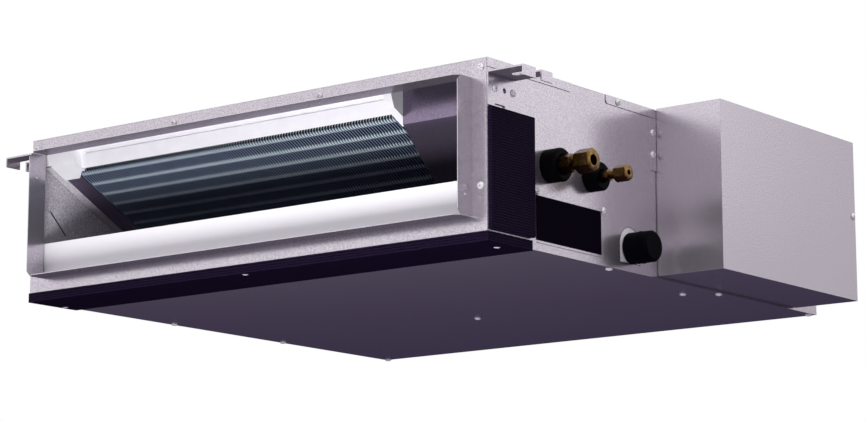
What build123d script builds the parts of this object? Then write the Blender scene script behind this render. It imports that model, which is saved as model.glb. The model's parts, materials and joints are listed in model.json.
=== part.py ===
# Ducted air conditioner indoor unit, slim ceiling type, with its outlet at the front and its inlet behind.
# Millimetres. +X runs to the pipe side, -Y to the air outlet and +Z up.
# The unit is laid out from its underside (z = 0) and its middle (x = 0, y = 0). Before it is written
# out it is lowered, so that the origin is the centre of the four suspension slots.
import os
from math import cos, pi, radians, sin

from build123d import *

# Driving dimensions of the casing
BODY_WIDTH = 700.0
BODY_DEPTH = 700.0
BODY_HEIGHT = 200.0
SHEET = 1.0
SIDE_X = BODY_WIDTH / 2
FRONT_Y = -BODY_DEPTH / 2
REAR_Y = BODY_DEPTH / 2
INNER_X = SIDE_X - SHEET
SIDE_RETURN = 14.0
REAR_RETURN = 12.0
LINING_FRONT = FRONT_Y + 5.0

# Air outlet: opening in the front panel and the collar that a duct slips over
OUTLET_HALF_WIDTH = 329.0
OUTLET_LOW = 27.0
OUTLET_HIGH = 180.0
COLLAR_DEPTH = 26.0
COLLAR_CHAMFER = 5.0
COLLAR_GAP = 0.4
OUTLET_PANEL_LOW = 9.4
COLLAR_HOLE_RADIUS = 1.5
COLLAR_HOLE_HEIGHTS = (50.0, 150.0)
TOP_COLLAR_HOLES = ((-129.0, -354.0), (105.0, -359.0), (194.0, -357.5))

# Air inlet: opening in the rear panel, with one filter each side of a centre post
INLET_HALF_WIDTH = 318.0
INLET_LOW = 24.0
INLET_HIGH = 178.0
INLET_POST = 12.0
INLET_FLANGE = 14.0
FILTER_THICKNESS = 8.0
FILTER_GAP = 0.6
FILTER_BAR = 9.0

# Suspension
SLOT_PITCH_X = 752.0
SLOT_PITCH_Y = 644.0
SLOT_RADIUS = 6.0
SLOT_LENGTH = 24.0
SLOT_THROAT = 10.6
HANGER_LENGTH = 54.0
HANGER_SHEET = 2.0
HANGER_LOW = 148.0
HANGER_TOP = 186.0
HANGER_REACH = 49.0
HANGER_LIP = 10.0
HANGER_LIP_GAP = 11.0
SLOT_PLANE = HANGER_TOP - HANGER_SHEET

# Pipe side
GAS_Y, GAS_Z = -235.0, 98.0
LIQUID_Y, LIQUID_Z = -155.0, 97.6
DRAIN_Y, DRAIN_Z = -75.0, 27.0
GAS_TUBE_RADIUS = 6.35
LIQUID_TUBE_RADIUS = 3.175
DRAIN_RADIUS = 16.0
ARCH_HALF_WIDTH = 21.0
ARCH_LOW = 9.6
ARCH_CENTRE_Z = 31.0
WINDOW_Y = (-259.0, -135.0)
WINDOW_Z = (12.0, 62.0)

# Control box
BOX_X = 440.0
BOX_Y = (-17.5, 295.0)
BOX_Z = (2.5, 202.5)
BOX_FLANGE = 7.0

# Coil: a slab that leans back, worked out along its slope (s), across its thickness (n) and along X
COIL_SLOPE = 27.0
COIL_TOP = (-319.9, 160.2)
TUBE_PITCH = 21.0
TUBE_ROWS = 12
ROW_SPACING = 13.5
COIL_THICKNESS = 27.0
COIL_LEFT = -303.0
COIL_RIGHT = 210.0
END_FLANGE = 27.0
COIL_TUBE_RADIUS = 3.5
FIN_PITCH = 4.2
FIN_SLIT_WIDTH = 2.6
FIN_SLIT_DEPTH = 3.0
END_PLATE = 1.2
TUBE_STUB = 6.0

# Fans
FAN_Y, FAN_Z = 152.0, 100.0
FAN_CENTRE_X = 150.0
WHEEL_RADIUS = 62.0
WHEEL_INNER_RADIUS = 51.0
WHEEL_WIDTH = 150.0
BLADE_COUNT = 32
SHAFT_RADIUS = 5.0
CASING_WALL = 2.0
CASING_WIDTH = 166.0
CASING_START = 68.0
CASING_GROWTH = 20.0
PARTITION_Y = 40.0
MOUTH_LOW = 108.0
MOUTH_HIGH = FAN_Z + CASING_START + CASING_GROWTH * 250.0 / 270.0
MOTOR_RADIUS = 46.0
MOTOR_LENGTH = 84.0

# Fasteners
SCREW_HEAD_RADIUS = 4.2
SCREW_HEAD_HEIGHT = 2.2
SCREW_SHANK_RADIUS = 1.9
SCREW_HOLE_RADIUS = 2.0
SCREW_LENGTH = 4.5

PARTS = {}


def add(name, *shapes):
    """Keep one sub-part: a single solid, or a group of separate solids."""
    solids = [solid for shape in shapes for solid in shape.solids()]
    PARTS[name] = solids[0] if len(solids) == 1 else Compound(solids)


def block(x, y, z):
    """Box between two values on each axis."""
    return Pos(x[0], y[0], z[0]) * Box(x[1] - x[0], y[1] - y[0], z[1] - z[0], align=Align.MIN)


def rod(start, direction, length, radius):
    """Round bar from a point along a direction."""
    plane = Plane(origin=start, z_dir=direction)
    return extrude(plane * Circle(radius), length)


def tube(start, direction, length, outer, inner):
    """Round pipe from a point along a direction."""
    plane = Plane(origin=start, z_dir=direction)
    return extrude(plane * (Circle(outer) - Circle(inner)), length)


def turned(start, direction, outline):
    """Solid of revolution: the outline holds (distance along the axis, radius) pairs."""
    axis_plane = Plane(origin=start, z_dir=direction)
    points = [(radius, along) for along, radius in outline]
    section = Plane(origin=axis_plane.origin, x_dir=axis_plane.x_dir, z_dir=-axis_plane.y_dir)
    face = section * make_face(Polyline(*points, close=True))
    return revolve(face, Axis(axis_plane.origin, axis_plane.z_dir))


def side_profile(points, x):
    """Profile in the (y, z) plane, carried along X between two values."""
    plane = Plane(origin=(x[0], 0, 0), x_dir=(0, 1, 0), z_dir=(1, 0, 0))
    return extrude(plane * make_face(Polyline(*points, close=True)), x[1] - x[0])


def plan_profile(points, z):
    """Profile in the (x, y) plane, carried up between two values."""
    plane = Plane.XY.offset(z[0])
    return extrude(plane * make_face(Polyline(*points, close=True)), z[1] - z[0])


def coil_point(x, s, n):
    """Point given along X, down the coil's slope and up through its thickness."""
    lean = radians(COIL_SLOPE)
    y = COIL_TOP[0] + s * cos(lean) + n * sin(lean)
    z = COIL_TOP[1] - s * sin(lean) + n * cos(lean)
    return (x, y, z)


def coil_block(x, s, n):
    """Box in the coil's own leaning frame."""
    corners = [(s[0], n[0]), (s[1], n[0]), (s[1], n[1]), (s[0], n[1])]
    points = [coil_point(0, a, b)[1:] for a, b in corners]
    return side_profile(points, x)


# Fasteners

FRONT_SCREWS = [(x, 191.0) for x in (-113.0, 113.0, 342.0)] + [(341.0, 60.0)]
LEFT_RETURN_SCREWS = [(-343.0, 189.0)]
BOTTOM_SCREWS = [
    (-3, 103), (310, 99), (344, 126), (344, -110), (-344, 117), (-344, -98),
    (-3, -343), (332, -309), (-344, -295), (-344, 345), (344, 340),
]
HANGER_SCREW_Y = (12.0, 45.0)
HANGER_HOLE_Y = 29.4
HANGER_SCREW_Z = 168.0
WINDOW_SCREWS = [(-259.5, 66.4), (-128.6, 63.6)]
BOX_TAB_SCREWS = [(-25.5, 172.0), (-25.5, 146.0)]
TOP_TAB_SCREW = (-98.0, 196.0)
COVER_SCREW = (289.0, 108.0)


def screw(point, direction, length=SCREW_LENGTH):
    """Pan-head sheet-metal screw: the point is under the head, the direction leaves the sheet."""
    crown = 0.62 * SCREW_HEAD_RADIUS
    outline = [
        (-length, 0), (-length + 1.2, SCREW_SHANK_RADIUS), (0, SCREW_SHANK_RADIUS),
        (0, SCREW_HEAD_RADIUS), (0.45 * SCREW_HEAD_HEIGHT, SCREW_HEAD_RADIUS),
        (SCREW_HEAD_HEIGHT, crown), (SCREW_HEAD_HEIGHT, 0),
    ]
    return turned(point, direction, outline)


def drilled(shape, points, direction, radius=SCREW_HOLE_RADIUS, depth=12.0):
    """Holes for screws through a sheet, centred on each point."""
    step = Vector(*direction).normalized() * (-depth / 2)
    for point in points:
        shape -= rod(Vector(*point) + step, direction, depth, radius)
    return shape


def hanger_origin(side, end):
    """Outer front corner of a hanger on the side panel: side is -1 or 1, end is -1 front or 1 rear."""
    low_y = FRONT_Y if end < 0 else REAR_Y - HANGER_LENGTH
    return (side * SIDE_X, low_y)


def hanger_screw_points(side, end):
    """Two screw places on a hanger's upright plate."""
    x, low_y = hanger_origin(side, end)
    offsets = HANGER_SCREW_Y if end < 0 else [HANGER_LENGTH - v for v in HANGER_SCREW_Y]
    return [(x, low_y + offset, HANGER_SCREW_Z) for offset in offsets]


SIDES = {"left": -1, "right": 1}
ENDS = {"front": -1, "rear": 1}


# Casing

def top_panel():
    """Flat lid with a front down-turned edge and two tabs lapping each side panel."""
    y = (FRONT_Y, REAR_Y)
    panel = block((-SIDE_X, SIDE_X), y, (BODY_HEIGHT, BODY_HEIGHT + SHEET))
    panel += block((-INNER_X + 1, INNER_X - SIDE_RETURN), (FRONT_Y + SHEET, FRONT_Y + 2 * SHEET),
                   (BODY_HEIGHT - 15, BODY_HEIGHT))
    for side in SIDES.values():
        x = sorted((side * SIDE_X, side * (SIDE_X + SHEET)))
        low = BODY_HEIGHT - 9.5
        for tab_y in ((FRONT_Y, -190.0), (-122.0, -19.0)):
            tab = block(x, tab_y, (low, BODY_HEIGHT + SHEET))
            corner = tab.edges().filter_by(Axis.X).group_by(Axis.Z)[0].sort_by(Axis.Y)
            panel += fillet(corner[0 if tab_y[0] > FRONT_Y else -1], 4)
        panel = drilled(panel, [(side * SIDE_X, *TOP_TAB_SCREW)], (side, 0, 0))
    points = [(x, FRONT_Y, z) for x, z in FRONT_SCREWS[:3] + LEFT_RETURN_SCREWS]
    return drilled(panel, points, (0, -1, 0))


def bottom_panel():
    """Shallow tray that closes the unit from below, its edges turned up inside the sides."""
    low = block((-INNER_X, INNER_X), (FRONT_Y + SHEET, REAR_Y - SHEET), (0, SHEET))
    edge_x = INNER_X - SIDE_RETURN
    for side in SIDES.values():
        x = sorted((side * (INNER_X - SHEET), side * INNER_X))
        low += block(x, (FRONT_Y + 20, -262), (SHEET, 9))
        low += block(x, (-132, -98), (SHEET, 9))
        low += block(x, (-50, REAR_Y - 20), (SHEET, 9))
    low += block((-edge_x, edge_x), (FRONT_Y + SHEET, FRONT_Y + 2 * SHEET), (SHEET, 24))
    low += block((-edge_x, edge_x), (REAR_Y - 2 * SHEET, REAR_Y - SHEET), (SHEET, 22))
    return drilled(low, [(x, y, 0) for x, y in BOTTOM_SCREWS], (0, 0, -1), depth=6)


def left_side_panel():
    """Side sheet; its front return shows beside the outlet panel."""
    x0, x1 = -SIDE_X, -INNER_X
    outline = [
        (x0, FRONT_Y), (x0 + SIDE_RETURN, FRONT_Y), (x0 + SIDE_RETURN, FRONT_Y + SHEET),
        (x1, FRONT_Y + SHEET), (x1, REAR_Y), (x0, REAR_Y),
    ]
    panel = plan_profile(outline, (0, BODY_HEIGHT))
    panel += block((x1, x1 + REAR_RETURN), (REAR_Y - 2 * SHEET, REAR_Y - SHEET), (SHEET, BODY_HEIGHT))
    panel = drilled(panel, [(x, FRONT_Y, z) for x, z in LEFT_RETURN_SCREWS], (0, -1, 0))
    points = [(x0, *TOP_TAB_SCREW)] + hanger_screw_points(-1, -1) + hanger_screw_points(-1, 1)
    return drilled(panel, points, (-1, 0, 0))


def arch_face(half_width, low):
    """Arched outline of the drain cut-out in the (y, z) plane."""
    top = Pos(DRAIN_Y, ARCH_CENTRE_Z) * Circle(half_width)
    legs = Pos(DRAIN_Y, (low + ARCH_CENTRE_Z) / 2) * Rectangle(2 * half_width, ARCH_CENTRE_Z - low)
    return top + legs


def arch_solid(half_width, low, x):
    """Arched outline carried along X."""
    plane = Plane(origin=(x[0], 0, 0), x_dir=(0, 1, 0), z_dir=(1, 0, 0))
    return extrude(plane * arch_face(half_width, low), x[1] - x[0])


def right_side_panel():
    """Side sheet on the pipe side, with pipe holes, drain arch, service window and cable hole."""
    x0, x1 = INNER_X, SIDE_X
    panel = block((x0, x1), (FRONT_Y + SHEET, REAR_Y), (0, BODY_HEIGHT))
    height = (SHEET, BODY_HEIGHT)
    panel += block((x0 - SIDE_RETURN + SHEET, x0), (FRONT_Y + SHEET, FRONT_Y + 2 * SHEET), height)
    panel += block((x0 - REAR_RETURN, x0), (REAR_Y - 2 * SHEET, REAR_Y - SHEET), height)
    panel -= block((x0 - 1, x1 + 1), WINDOW_Y, WINDOW_Z)
    panel -= arch_solid(ARCH_HALF_WIDTH, ARCH_LOW, (x0 - 1, x1 + 1))
    panel += block((x1, x1 + SHEET), (WINDOW_Y[0], WINDOW_Y[1] + 3), (WINDOW_Z[0] - 3, WINDOW_Z[0] - 1.8))
    for y, z, radius in ((GAS_Y, GAS_Z, 16.0), (LIQUID_Y, LIQUID_Z, 13.5), (140.0, 150.0, 12.0)):
        panel -= rod((x0 - 1, y, z), (1, 0, 0), 3, radius)
    panel = drilled(panel, [(x, FRONT_Y, z) for x, z in FRONT_SCREWS[2:]], (0, -1, 0))
    points = [(x1, y, z) for y, z in WINDOW_SCREWS + BOX_TAB_SCREWS + [TOP_TAB_SCREW]]
    points += hanger_screw_points(1, -1) + hanger_screw_points(1, 1)
    return drilled(panel, points, (1, 0, 0))


def collar_plate(length, depth, chamfer):
    """Flat flange in the (u, v) plane with its two free corners cut off."""
    half = length / 2
    return [(-half, 0), (half, 0), (half, depth - chamfer), (half - chamfer, depth),
            (-half + chamfer, depth), (-half, depth - chamfer)]


def outlet_panel():
    """Front panel with the outlet opening and four flanges bent forward as the duct collar."""
    left = -SIDE_X + SIDE_RETURN + 0.4
    y = (FRONT_Y, FRONT_Y + SHEET)
    panel = block((left, SIDE_X - 0.4), y, (OUTLET_PANEL_LOW, BODY_HEIGHT))
    panel -= block((-OUTLET_HALF_WIDTH, OUTLET_HALF_WIDTH), (FRONT_Y - 1, FRONT_Y + 2),
                   (OUTLET_LOW, OUTLET_HIGH))
    height = OUTLET_HIGH - OUTLET_LOW - 2 * COLLAR_GAP
    middle = (OUTLET_HIGH + OUTLET_LOW) / 2
    for side in SIDES.values():
        x = sorted((side * OUTLET_HALF_WIDTH, side * (OUTLET_HALF_WIDTH + SHEET)))
        outline = [(FRONT_Y - v, middle + u) for u, v in collar_plate(height, COLLAR_DEPTH, COLLAR_CHAMFER)]
        flange = side_profile(outline, x)
        holes = [(side * OUTLET_HALF_WIDTH, FRONT_Y - COLLAR_DEPTH / 2, z) for z in COLLAR_HOLE_HEIGHTS]
        panel += drilled(flange, holes, (1, 0, 0), COLLAR_HOLE_RADIUS, 6)
    for low in (OUTLET_LOW - SHEET, OUTLET_HIGH):
        outline = [(u, FRONT_Y - v) for u, v in
                   collar_plate(2 * (OUTLET_HALF_WIDTH - COLLAR_GAP), COLLAR_DEPTH, COLLAR_CHAMFER)]
        panel += plan_profile(outline, (low, low + SHEET))
    collar_holes = [(x, y, OUTLET_HIGH) for x, y in TOP_COLLAR_HOLES]
    panel = drilled(panel, collar_holes, (0, 0, 1), COLLAR_HOLE_RADIUS, 6)
    return drilled(panel, [(x, FRONT_Y, z) for x, z in FRONT_SCREWS], (0, -1, 0))


def inlet_panel():
    """Rear panel with the inlet opening in two bays and its edges turned inwards."""
    x = (-INNER_X, INNER_X)
    panel = block(x, (REAR_Y - SHEET, REAR_Y), (SHEET, BODY_HEIGHT))
    for bay in inlet_bays():
        panel -= block(bay, (REAR_Y - 3, REAR_Y + 1), (INLET_LOW, INLET_HIGH))
        inside = (REAR_Y - INLET_FLANGE, REAR_Y - SHEET)
        frame = block((bay[0] - SHEET, bay[1] + SHEET), inside, (INLET_LOW - SHEET, INLET_HIGH + SHEET))
        panel += frame - block(bay, (REAR_Y - 30, REAR_Y), (INLET_LOW, INLET_HIGH))
    return panel


def inlet_bays():
    """The two halves of the inlet opening along X."""
    half_post = INLET_POST / 2
    return [(-INLET_HALF_WIDTH, -half_post), (half_post, INLET_HALF_WIDTH)]


def hanger(side, end):
    """Angle bracket: upright plate on the side panel, shelf with a necked slot open outwards, two lips."""
    x0, low_y = hanger_origin(side, end)
    y = (low_y, low_y + HANGER_LENGTH)
    slot_y = end * SLOT_PITCH_Y / 2
    upright = block(sorted((x0, x0 + side * HANGER_SHEET)), y, (HANGER_LOW, HANGER_TOP))
    reach = x0 + side * HANGER_REACH
    shelf = block(sorted((x0, reach)), y, (SLOT_PLANE, HANGER_TOP))
    lip = block(sorted((reach - side * HANGER_SHEET, reach)), y, (SLOT_PLANE - HANGER_LIP, HANGER_TOP))
    shape = upright + shelf + lip
    slot_x = side * SLOT_PITCH_X / 2
    plane = Plane.XY.offset(SLOT_PLANE - 20)
    slot = extrude(plane * Pos(slot_x, slot_y) * SlotOverall(SLOT_LENGTH, 2 * SLOT_RADIUS), 40)
    throat_x = sorted((slot_x, reach + side * 2))
    throat = block(throat_x, (slot_y - SLOT_THROAT / 2, slot_y + SLOT_THROAT / 2), (SLOT_PLANE - 20, 200))
    gap = block(sorted((reach - side * 3, reach + side * 2)),
                (slot_y - HANGER_LIP_GAP / 2, slot_y + HANGER_LIP_GAP / 2), (SLOT_PLANE - 20, SLOT_PLANE))
    shape -= slot
    shape -= throat
    shape -= gap
    hole_y = low_y + (HANGER_HOLE_Y if end < 0 else HANGER_LENGTH - HANGER_HOLE_Y)
    shape = drilled(shape, [(x0, hole_y, HANGER_SCREW_Z)], (side, 0, 0), 3.0)
    notch_low = low_y + (12.0 if end < 0 else HANGER_LENGTH - 30.0)
    shape -= block(sorted((x0 - side, x0 + side * 4)), (notch_low, notch_low + 18), (HANGER_LOW - 1, HANGER_LOW + 3))
    return drilled(shape, hanger_screw_points(side, end), (side, 0, 0))


# Foam pads and the service window

FOAM = 2.0
PAD_Y = (FRONT_Y, -268.5)
PAD_Z = (12.0, 147.0)
PAD_THICKNESS = 6.0
STRIP_REAR = -270.0


def bottom_foam():
    """Foam strip wrapped round the lower front edge and up the pipe side's lowest edge."""
    width = (-SIDE_X, SIDE_X + FOAM)
    depth = (FRONT_Y - FOAM, STRIP_REAR)
    height = (-FOAM, OUTLET_PANEL_LOW)
    strip = block(width, depth, (-FOAM, 0))
    strip += block((-SIDE_X, SIDE_X), (FRONT_Y - FOAM, FRONT_Y), height)
    strip += block((SIDE_X, SIDE_X + FOAM), depth, height)
    for x, y in BOTTOM_SCREWS:
        if y < STRIP_REAR and abs(x) < SIDE_X:
            strip -= rod((x, y, -FOAM - 1), (0, 0, 1), FOAM + 1, SCREW_HEAD_RADIUS + 1)
    return strip


def side_foam():
    """Foam pad on the pipe side's front corner."""
    return block((SIDE_X, SIDE_X + PAD_THICKNESS), PAD_Y, PAD_Z)


def window_cover():
    """Black plate that closes the service window, its lower edge hooked behind a lip."""
    lap = 3.0
    plate = block((SIDE_X, SIDE_X + 1.2), (WINDOW_Y[0] - 1.5, WINDOW_Y[1]), (WINDOW_Z[0], WINDOW_Z[1]))
    plug = block((SIDE_X - 4, SIDE_X), (WINDOW_Y[0] + lap, WINDOW_Y[1] - lap), (WINDOW_Z[0] + lap, WINDOW_Z[1] - lap))
    return plate + plug


# Coil and its tubes

def coil_fins():
    """Fin pack: a leaning slab with the tubes' holes, slit on its air-off face at the fin pitch."""
    length = TUBE_PITCH * TUBE_ROWS
    fins = coil_block((COIL_LEFT, COIL_RIGHT), (0, length), (0, COIL_THICKNESS))
    cutters = []
    count = int((COIL_RIGHT - COIL_LEFT) / FIN_PITCH)
    for index in range(count):
        x = COIL_LEFT + FIN_PITCH * (index + 0.5)
        cutters.append(coil_block((x - FIN_SLIT_WIDTH / 2, x + FIN_SLIT_WIDTH / 2),
                                  (-1, length + 1), (-1, FIN_SLIT_DEPTH)))
    fins -= cutters
    holes = [tube_run(s, n, COIL_TUBE_RADIUS + 0.05) for s, n in tube_places()]
    return fins - holes


def tube_places():
    """Slope and depth of every tube, the two rows staggered by half a pitch."""
    places = []
    for row in range(2):
        n = COIL_THICKNESS / 2 + (row - 0.5) * ROW_SPACING
        for index in range(TUBE_ROWS):
            s = TUBE_PITCH * (index + 0.35 + 0.3 * row)
            places.append((s, n))
    return places


def tube_run(s, n, radius):
    """One straight tube right through the fins and both end plates."""
    left = COIL_LEFT - END_PLATE - TUBE_STUB
    right = COIL_RIGHT + END_PLATE + TUBE_STUB
    return rod(coil_point(left, s, n), (1, 0, 0), right - left, radius)


def u_bend(x, direction, a, b):
    """Return bend joining two tube ends, drawn in the plane through both tubes."""
    start = Vector(*coil_point(x, *a))
    end = Vector(*coil_point(x, *b))
    middle = (start + end) * 0.5
    reach = (end - start).length / 2
    tip = middle + Vector(direction, 0, 0) * reach
    path = ThreePointArc(start, tip, end)
    return sweep(Plane(origin=start, z_dir=(direction, 0, 0)) * Circle(COIL_TUBE_RADIUS), path)


def return_bends():
    """Bends on both ends: along each row on the left, and stepped by one tube on the right."""
    places = tube_places()
    bends = []
    left = COIL_LEFT - END_PLATE - TUBE_STUB
    right = COIL_RIGHT + END_PLATE + TUBE_STUB
    for row in range(2):
        line = places[row * TUBE_ROWS:(row + 1) * TUBE_ROWS]
        for index in range(0, TUBE_ROWS, 2):
            bends.append(u_bend(left, -1, line[index], line[index + 1]))
        for index in range(1, TUBE_ROWS - 1, 2):
            if index % 4 == 1:
                bends.append(u_bend(right, 1, line[index], line[index + 1]))
    return bends


def end_plate(side):
    """Galvanised end plate of the coil with a flange in the plane of its lower face."""
    length = TUBE_PITCH * TUBE_ROWS
    edge = COIL_LEFT if side < 0 else COIL_RIGHT
    x = sorted((edge, edge + side * END_PLATE))
    plate = coil_block(x, (0, length), (0, COIL_THICKNESS))
    flange = sorted((edge, edge + side * END_FLANGE))
    plate += coil_block(flange, (0, length), (0, END_PLATE))
    holes = [tube_run(s, n, COIL_TUBE_RADIUS + 0.05) for s, n in tube_places()]
    return plate - holes


HEADER_S = (8.0, 248.0)
GAS_HEADER_X = COIL_RIGHT + 38.0
GAS_HEADER_RADIUS = 8.0
LIQUID_HEADER_X = COIL_RIGHT + 30.0
LIQUID_HEADER_RADIUS = 4.5


def header(row, x, radius):
    """Manifold along the coil's slope that joins the open tube ends of one row."""
    n = tube_places()[row * TUBE_ROWS][1]
    start = Vector(*coil_point(x, HEADER_S[0], n))
    end = Vector(*coil_point(x, HEADER_S[1], n))
    shape = rod(start, end - start, (end - start).length, radius)
    for s, depth in open_ends(row):
        begin = coil_point(COIL_RIGHT + END_PLATE + TUBE_STUB, s, depth)
        shape += rod(begin, (1, 0, 0), x - begin[0], COIL_TUBE_RADIUS)
    return shape


def open_ends(row):
    """Tube ends on the right that carry no return bend."""
    line = tube_places()[row * TUBE_ROWS:(row + 1) * TUBE_ROWS]
    used = set()
    for index in range(1, TUBE_ROWS - 1, 2):
        if index % 4 == 1:
            used.update((index, index + 1))
    return [place for index, place in enumerate(line) if index not in used]


def piped(points, bend, outer):
    """Pipe along a path of straight runs and arcs."""
    path = FilletPolyline(*points, radius=bend)
    return sweep(Plane(origin=path @ 0, z_dir=path % 0) * Circle(outer), path)


PIPE_OUT_X = SIDE_X + 8.0


def gas_pipe():
    """Suction pipe from the manifold out through the side panel."""
    leave = coil_point(GAS_HEADER_X + GAS_HEADER_RADIUS, 120.0, tube_places()[-1][1])
    points = [leave, (300.0, leave[1], leave[2]), (312.0, GAS_Y, GAS_Z), (PIPE_OUT_X, GAS_Y, GAS_Z)]
    return piped(points, 12.0, GAS_TUBE_RADIUS)


def liquid_pipe():
    """Liquid pipe from the side panel in to the lower manifold."""
    enter = coil_point(LIQUID_HEADER_X + LIQUID_HEADER_RADIUS, 200.0, tube_places()[0][1])
    points = [(PIPE_OUT_X, LIQUID_Y, LIQUID_Z), (318.0, LIQUID_Y, LIQUID_Z), (284.0, enter[1], enter[2]), enter]
    return piped(points, 10.0, LIQUID_TUBE_RADIUS)


# Pipe fittings

HEX_SIDES = 6


def hexagon(start, length, across_flats):
    """Hexagonal bar along +X."""
    plane = Plane(origin=start, x_dir=(0, 1, 0), z_dir=(1, 0, 0))
    corner = across_flats / 2 / cos(pi / HEX_SIDES)
    return extrude(plane * RegularPolygon(corner, HEX_SIDES, rotation=30), length)


def chamfered_hexagon(start, length, across_flats):
    """Hexagonal bar with both ends turned down to a 30 degree cone."""
    corner = across_flats / 2 / cos(pi / HEX_SIDES)
    drop = (corner - across_flats / 2 + 0.3) * 0.6
    cone = turned(start, (1, 0, 0), [
        (0, 0), (0, corner - drop / 0.6), (drop, corner + 0.1), (length - drop, corner + 0.1),
        (length, corner - drop / 0.6), (length, 0)])
    return hexagon(start, length, across_flats) & cone


def union_body(y, z, hex_flats, hex_x, hex_length, neck_radius, end_x, bore, pipe):
    """Half union brazed on the pipe: hexagon, neck and threaded spigot, bored through."""
    body = chamfered_hexagon((hex_x, y, z), hex_length, hex_flats)
    body += rod((hex_x + hex_length, y, z), (1, 0, 0), end_x - hex_x - hex_length, neck_radius)
    body -= rod((hex_x - 1, y, z), (1, 0, 0), end_x - hex_x + 2, bore)
    body -= rod((hex_x - 1, y, z), (1, 0, 0), PIPE_OUT_X - hex_x + 1, pipe + 0.05)
    return body


def flare_nut(y, z, flats, start_x, length, thread_radius, thread_depth, bore):
    """Flare nut: turned-down hexagon, threaded on the union, with the pipe's bore at its free end."""
    nut = chamfered_hexagon((start_x, y, z), length, flats)
    nut -= rod((start_x - 1, y, z), (1, 0, 0), thread_depth + 1, thread_radius)
    nut -= rod((start_x, y, z), (1, 0, 0), length + 1, bore)
    return nut


GAS_COLLAR = (19.0, 20.0)
LIQUID_COLLAR = (16.5, 18.0)


def pipe_collar(y, z, outer, length, pipe, hole, recess):
    """Rubber collar that seals a pipe's hole in the side panel, with a groove that grips the sheet."""
    outline = [
        (-4, pipe), (-4, hole + 2.5), (-1, hole + 2.5), (-1, hole - 0.05), (0, hole - 0.05), (0, outer),
        (length - 2, outer), (length, outer - 2), (length, recess), (length - 7, recess),
        (length - 7, pipe),
    ]
    return turned((SIDE_X, y, z), (1, 0, 0), outline)


def fittings():
    """Collars, unions and flare nuts of both refrigerant pipes."""
    add("gas_pipe_collar", pipe_collar(GAS_Y, GAS_Z, *GAS_COLLAR, GAS_TUBE_RADIUS + 0.05, 16.0, 11.8))
    add("liquid_pipe_collar", pipe_collar(LIQUID_Y, LIQUID_Z, *LIQUID_COLLAR, LIQUID_TUBE_RADIUS + 0.05, 13.5, 8.0))
    gas_end, liquid_end = 401.0, 395.0
    add("gas_union", union_body(GAS_Y, GAS_Z, 19.0, SIDE_X + 14.0, 19.0, 8.0, gas_end, 4.6, GAS_TUBE_RADIUS))
    add("liquid_union", union_body(LIQUID_Y, LIQUID_Z, 12.0, SIDE_X + 12.0, 16.0, 4.8, liquid_end, 2.2,
                                   LIQUID_TUBE_RADIUS))
    add("gas_flare_nut", flare_nut(GAS_Y, GAS_Z, 24.0, 390.0, 20.0, 8.05, 11.0, GAS_TUBE_RADIUS))
    add("liquid_flare_nut", flare_nut(LIQUID_Y, LIQUID_Z, 17.0, 386.0, 17.0, 4.85, 9.0, LIQUID_TUBE_RADIUS))


# Drain pan and insulation

PAN_X = INNER_X - 1.5
PAN_FRONT = LINING_FRONT
PAN_LIP = 70.0


def drain_pan():
    """Moulded foam pan under the coil, with a sloped channel and a boss for the drain socket."""
    outline = [
        (PAN_FRONT, 1.0), (-40.0, 1.0), (-40.0, 58.0), (-58.0, 58.0), (-64.0, 22.0), (-110.0, 18.0),
        (-290.0, 26.0), (-330.0, 58.0), (-334.0, PAN_LIP), (PAN_FRONT, PAN_LIP),
    ]
    pan = side_profile(outline, (-PAN_X, PAN_X))
    pan += side_profile([(PAN_FRONT, 1.0), (-40.0, 1.0), (-40.0, 58.0), (-120.0, 58.0), (-200.0, 70.0),
                         (PAN_FRONT, PAN_LIP)], (-PAN_X, -PAN_X + 3))
    wall = side_profile([(PAN_FRONT, 1.0), (-40.0, 1.0), (-40.0, 58.0), (-300.0, 58.0),
                         (PAN_FRONT, PAN_LIP)], (PAN_X - 5, PAN_X))
    pan += wall
    pan -= block((PAN_X - 3, PAN_X + 1), (WINDOW_Y[0] - 2, WINDOW_Y[1] + 2), (WINDOW_Z[0] - 2, WINDOW_Z[1] + 2))
    pan += arch_solid(ARCH_HALF_WIDTH - 0.5, ARCH_LOW + 0.5, (PAN_X - 5, SIDE_X - 0.2))
    pan -= rod((PAN_X - 12, DRAIN_Y, DRAIN_Z), (1, 0, 0), 20, 12.6)
    for x, y in BOTTOM_SCREWS:
        if y < -40:
            pan -= rod((x, y, 0.5), (0, 0, 1), 8, 3)
    for side in SIDES.values():
        x = sorted((side * (PAN_X + 1), side * (PAN_X - 1.2)))
        pan -= block(x, (FRONT_Y, -39), (0, 9.2))
    return pan


def drain_socket():
    """Plastic drain stub fixed in the pan, with the outer diameter that a 32 mm hose takes."""
    start = (PAN_X - 12, DRAIN_Y, DRAIN_Z)
    outline = [(0, 10.5), (0, 12.5), (14.5, 12.5), (14.5, DRAIN_RADIUS), (44, DRAIN_RADIUS),
               (44, 13.0), (16, 13.0), (14, 10.5)]
    return turned(start, (1, 0, 0), outline)


def drain_cap():
    """Rubber cap pulled over the drain stub, with a moulded band round its middle."""
    start = (SIDE_X + 0.6, DRAIN_Y, DRAIN_Z)
    length = 33.0
    outline = [
        (0, DRAIN_RADIUS + 0.3), (0, 17.6), (1.2, 18.4), (15.4, 18.4), (16.0, 18.9), (17.4, 18.9), (18.0, 18.4),
        (length - 2.5, 18.2), (length, 15.8), (length, 0), (length - 3, 0), (length - 3, DRAIN_RADIUS + 0.3),
    ]
    return turned(start, (1, 0, 0), outline)


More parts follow.
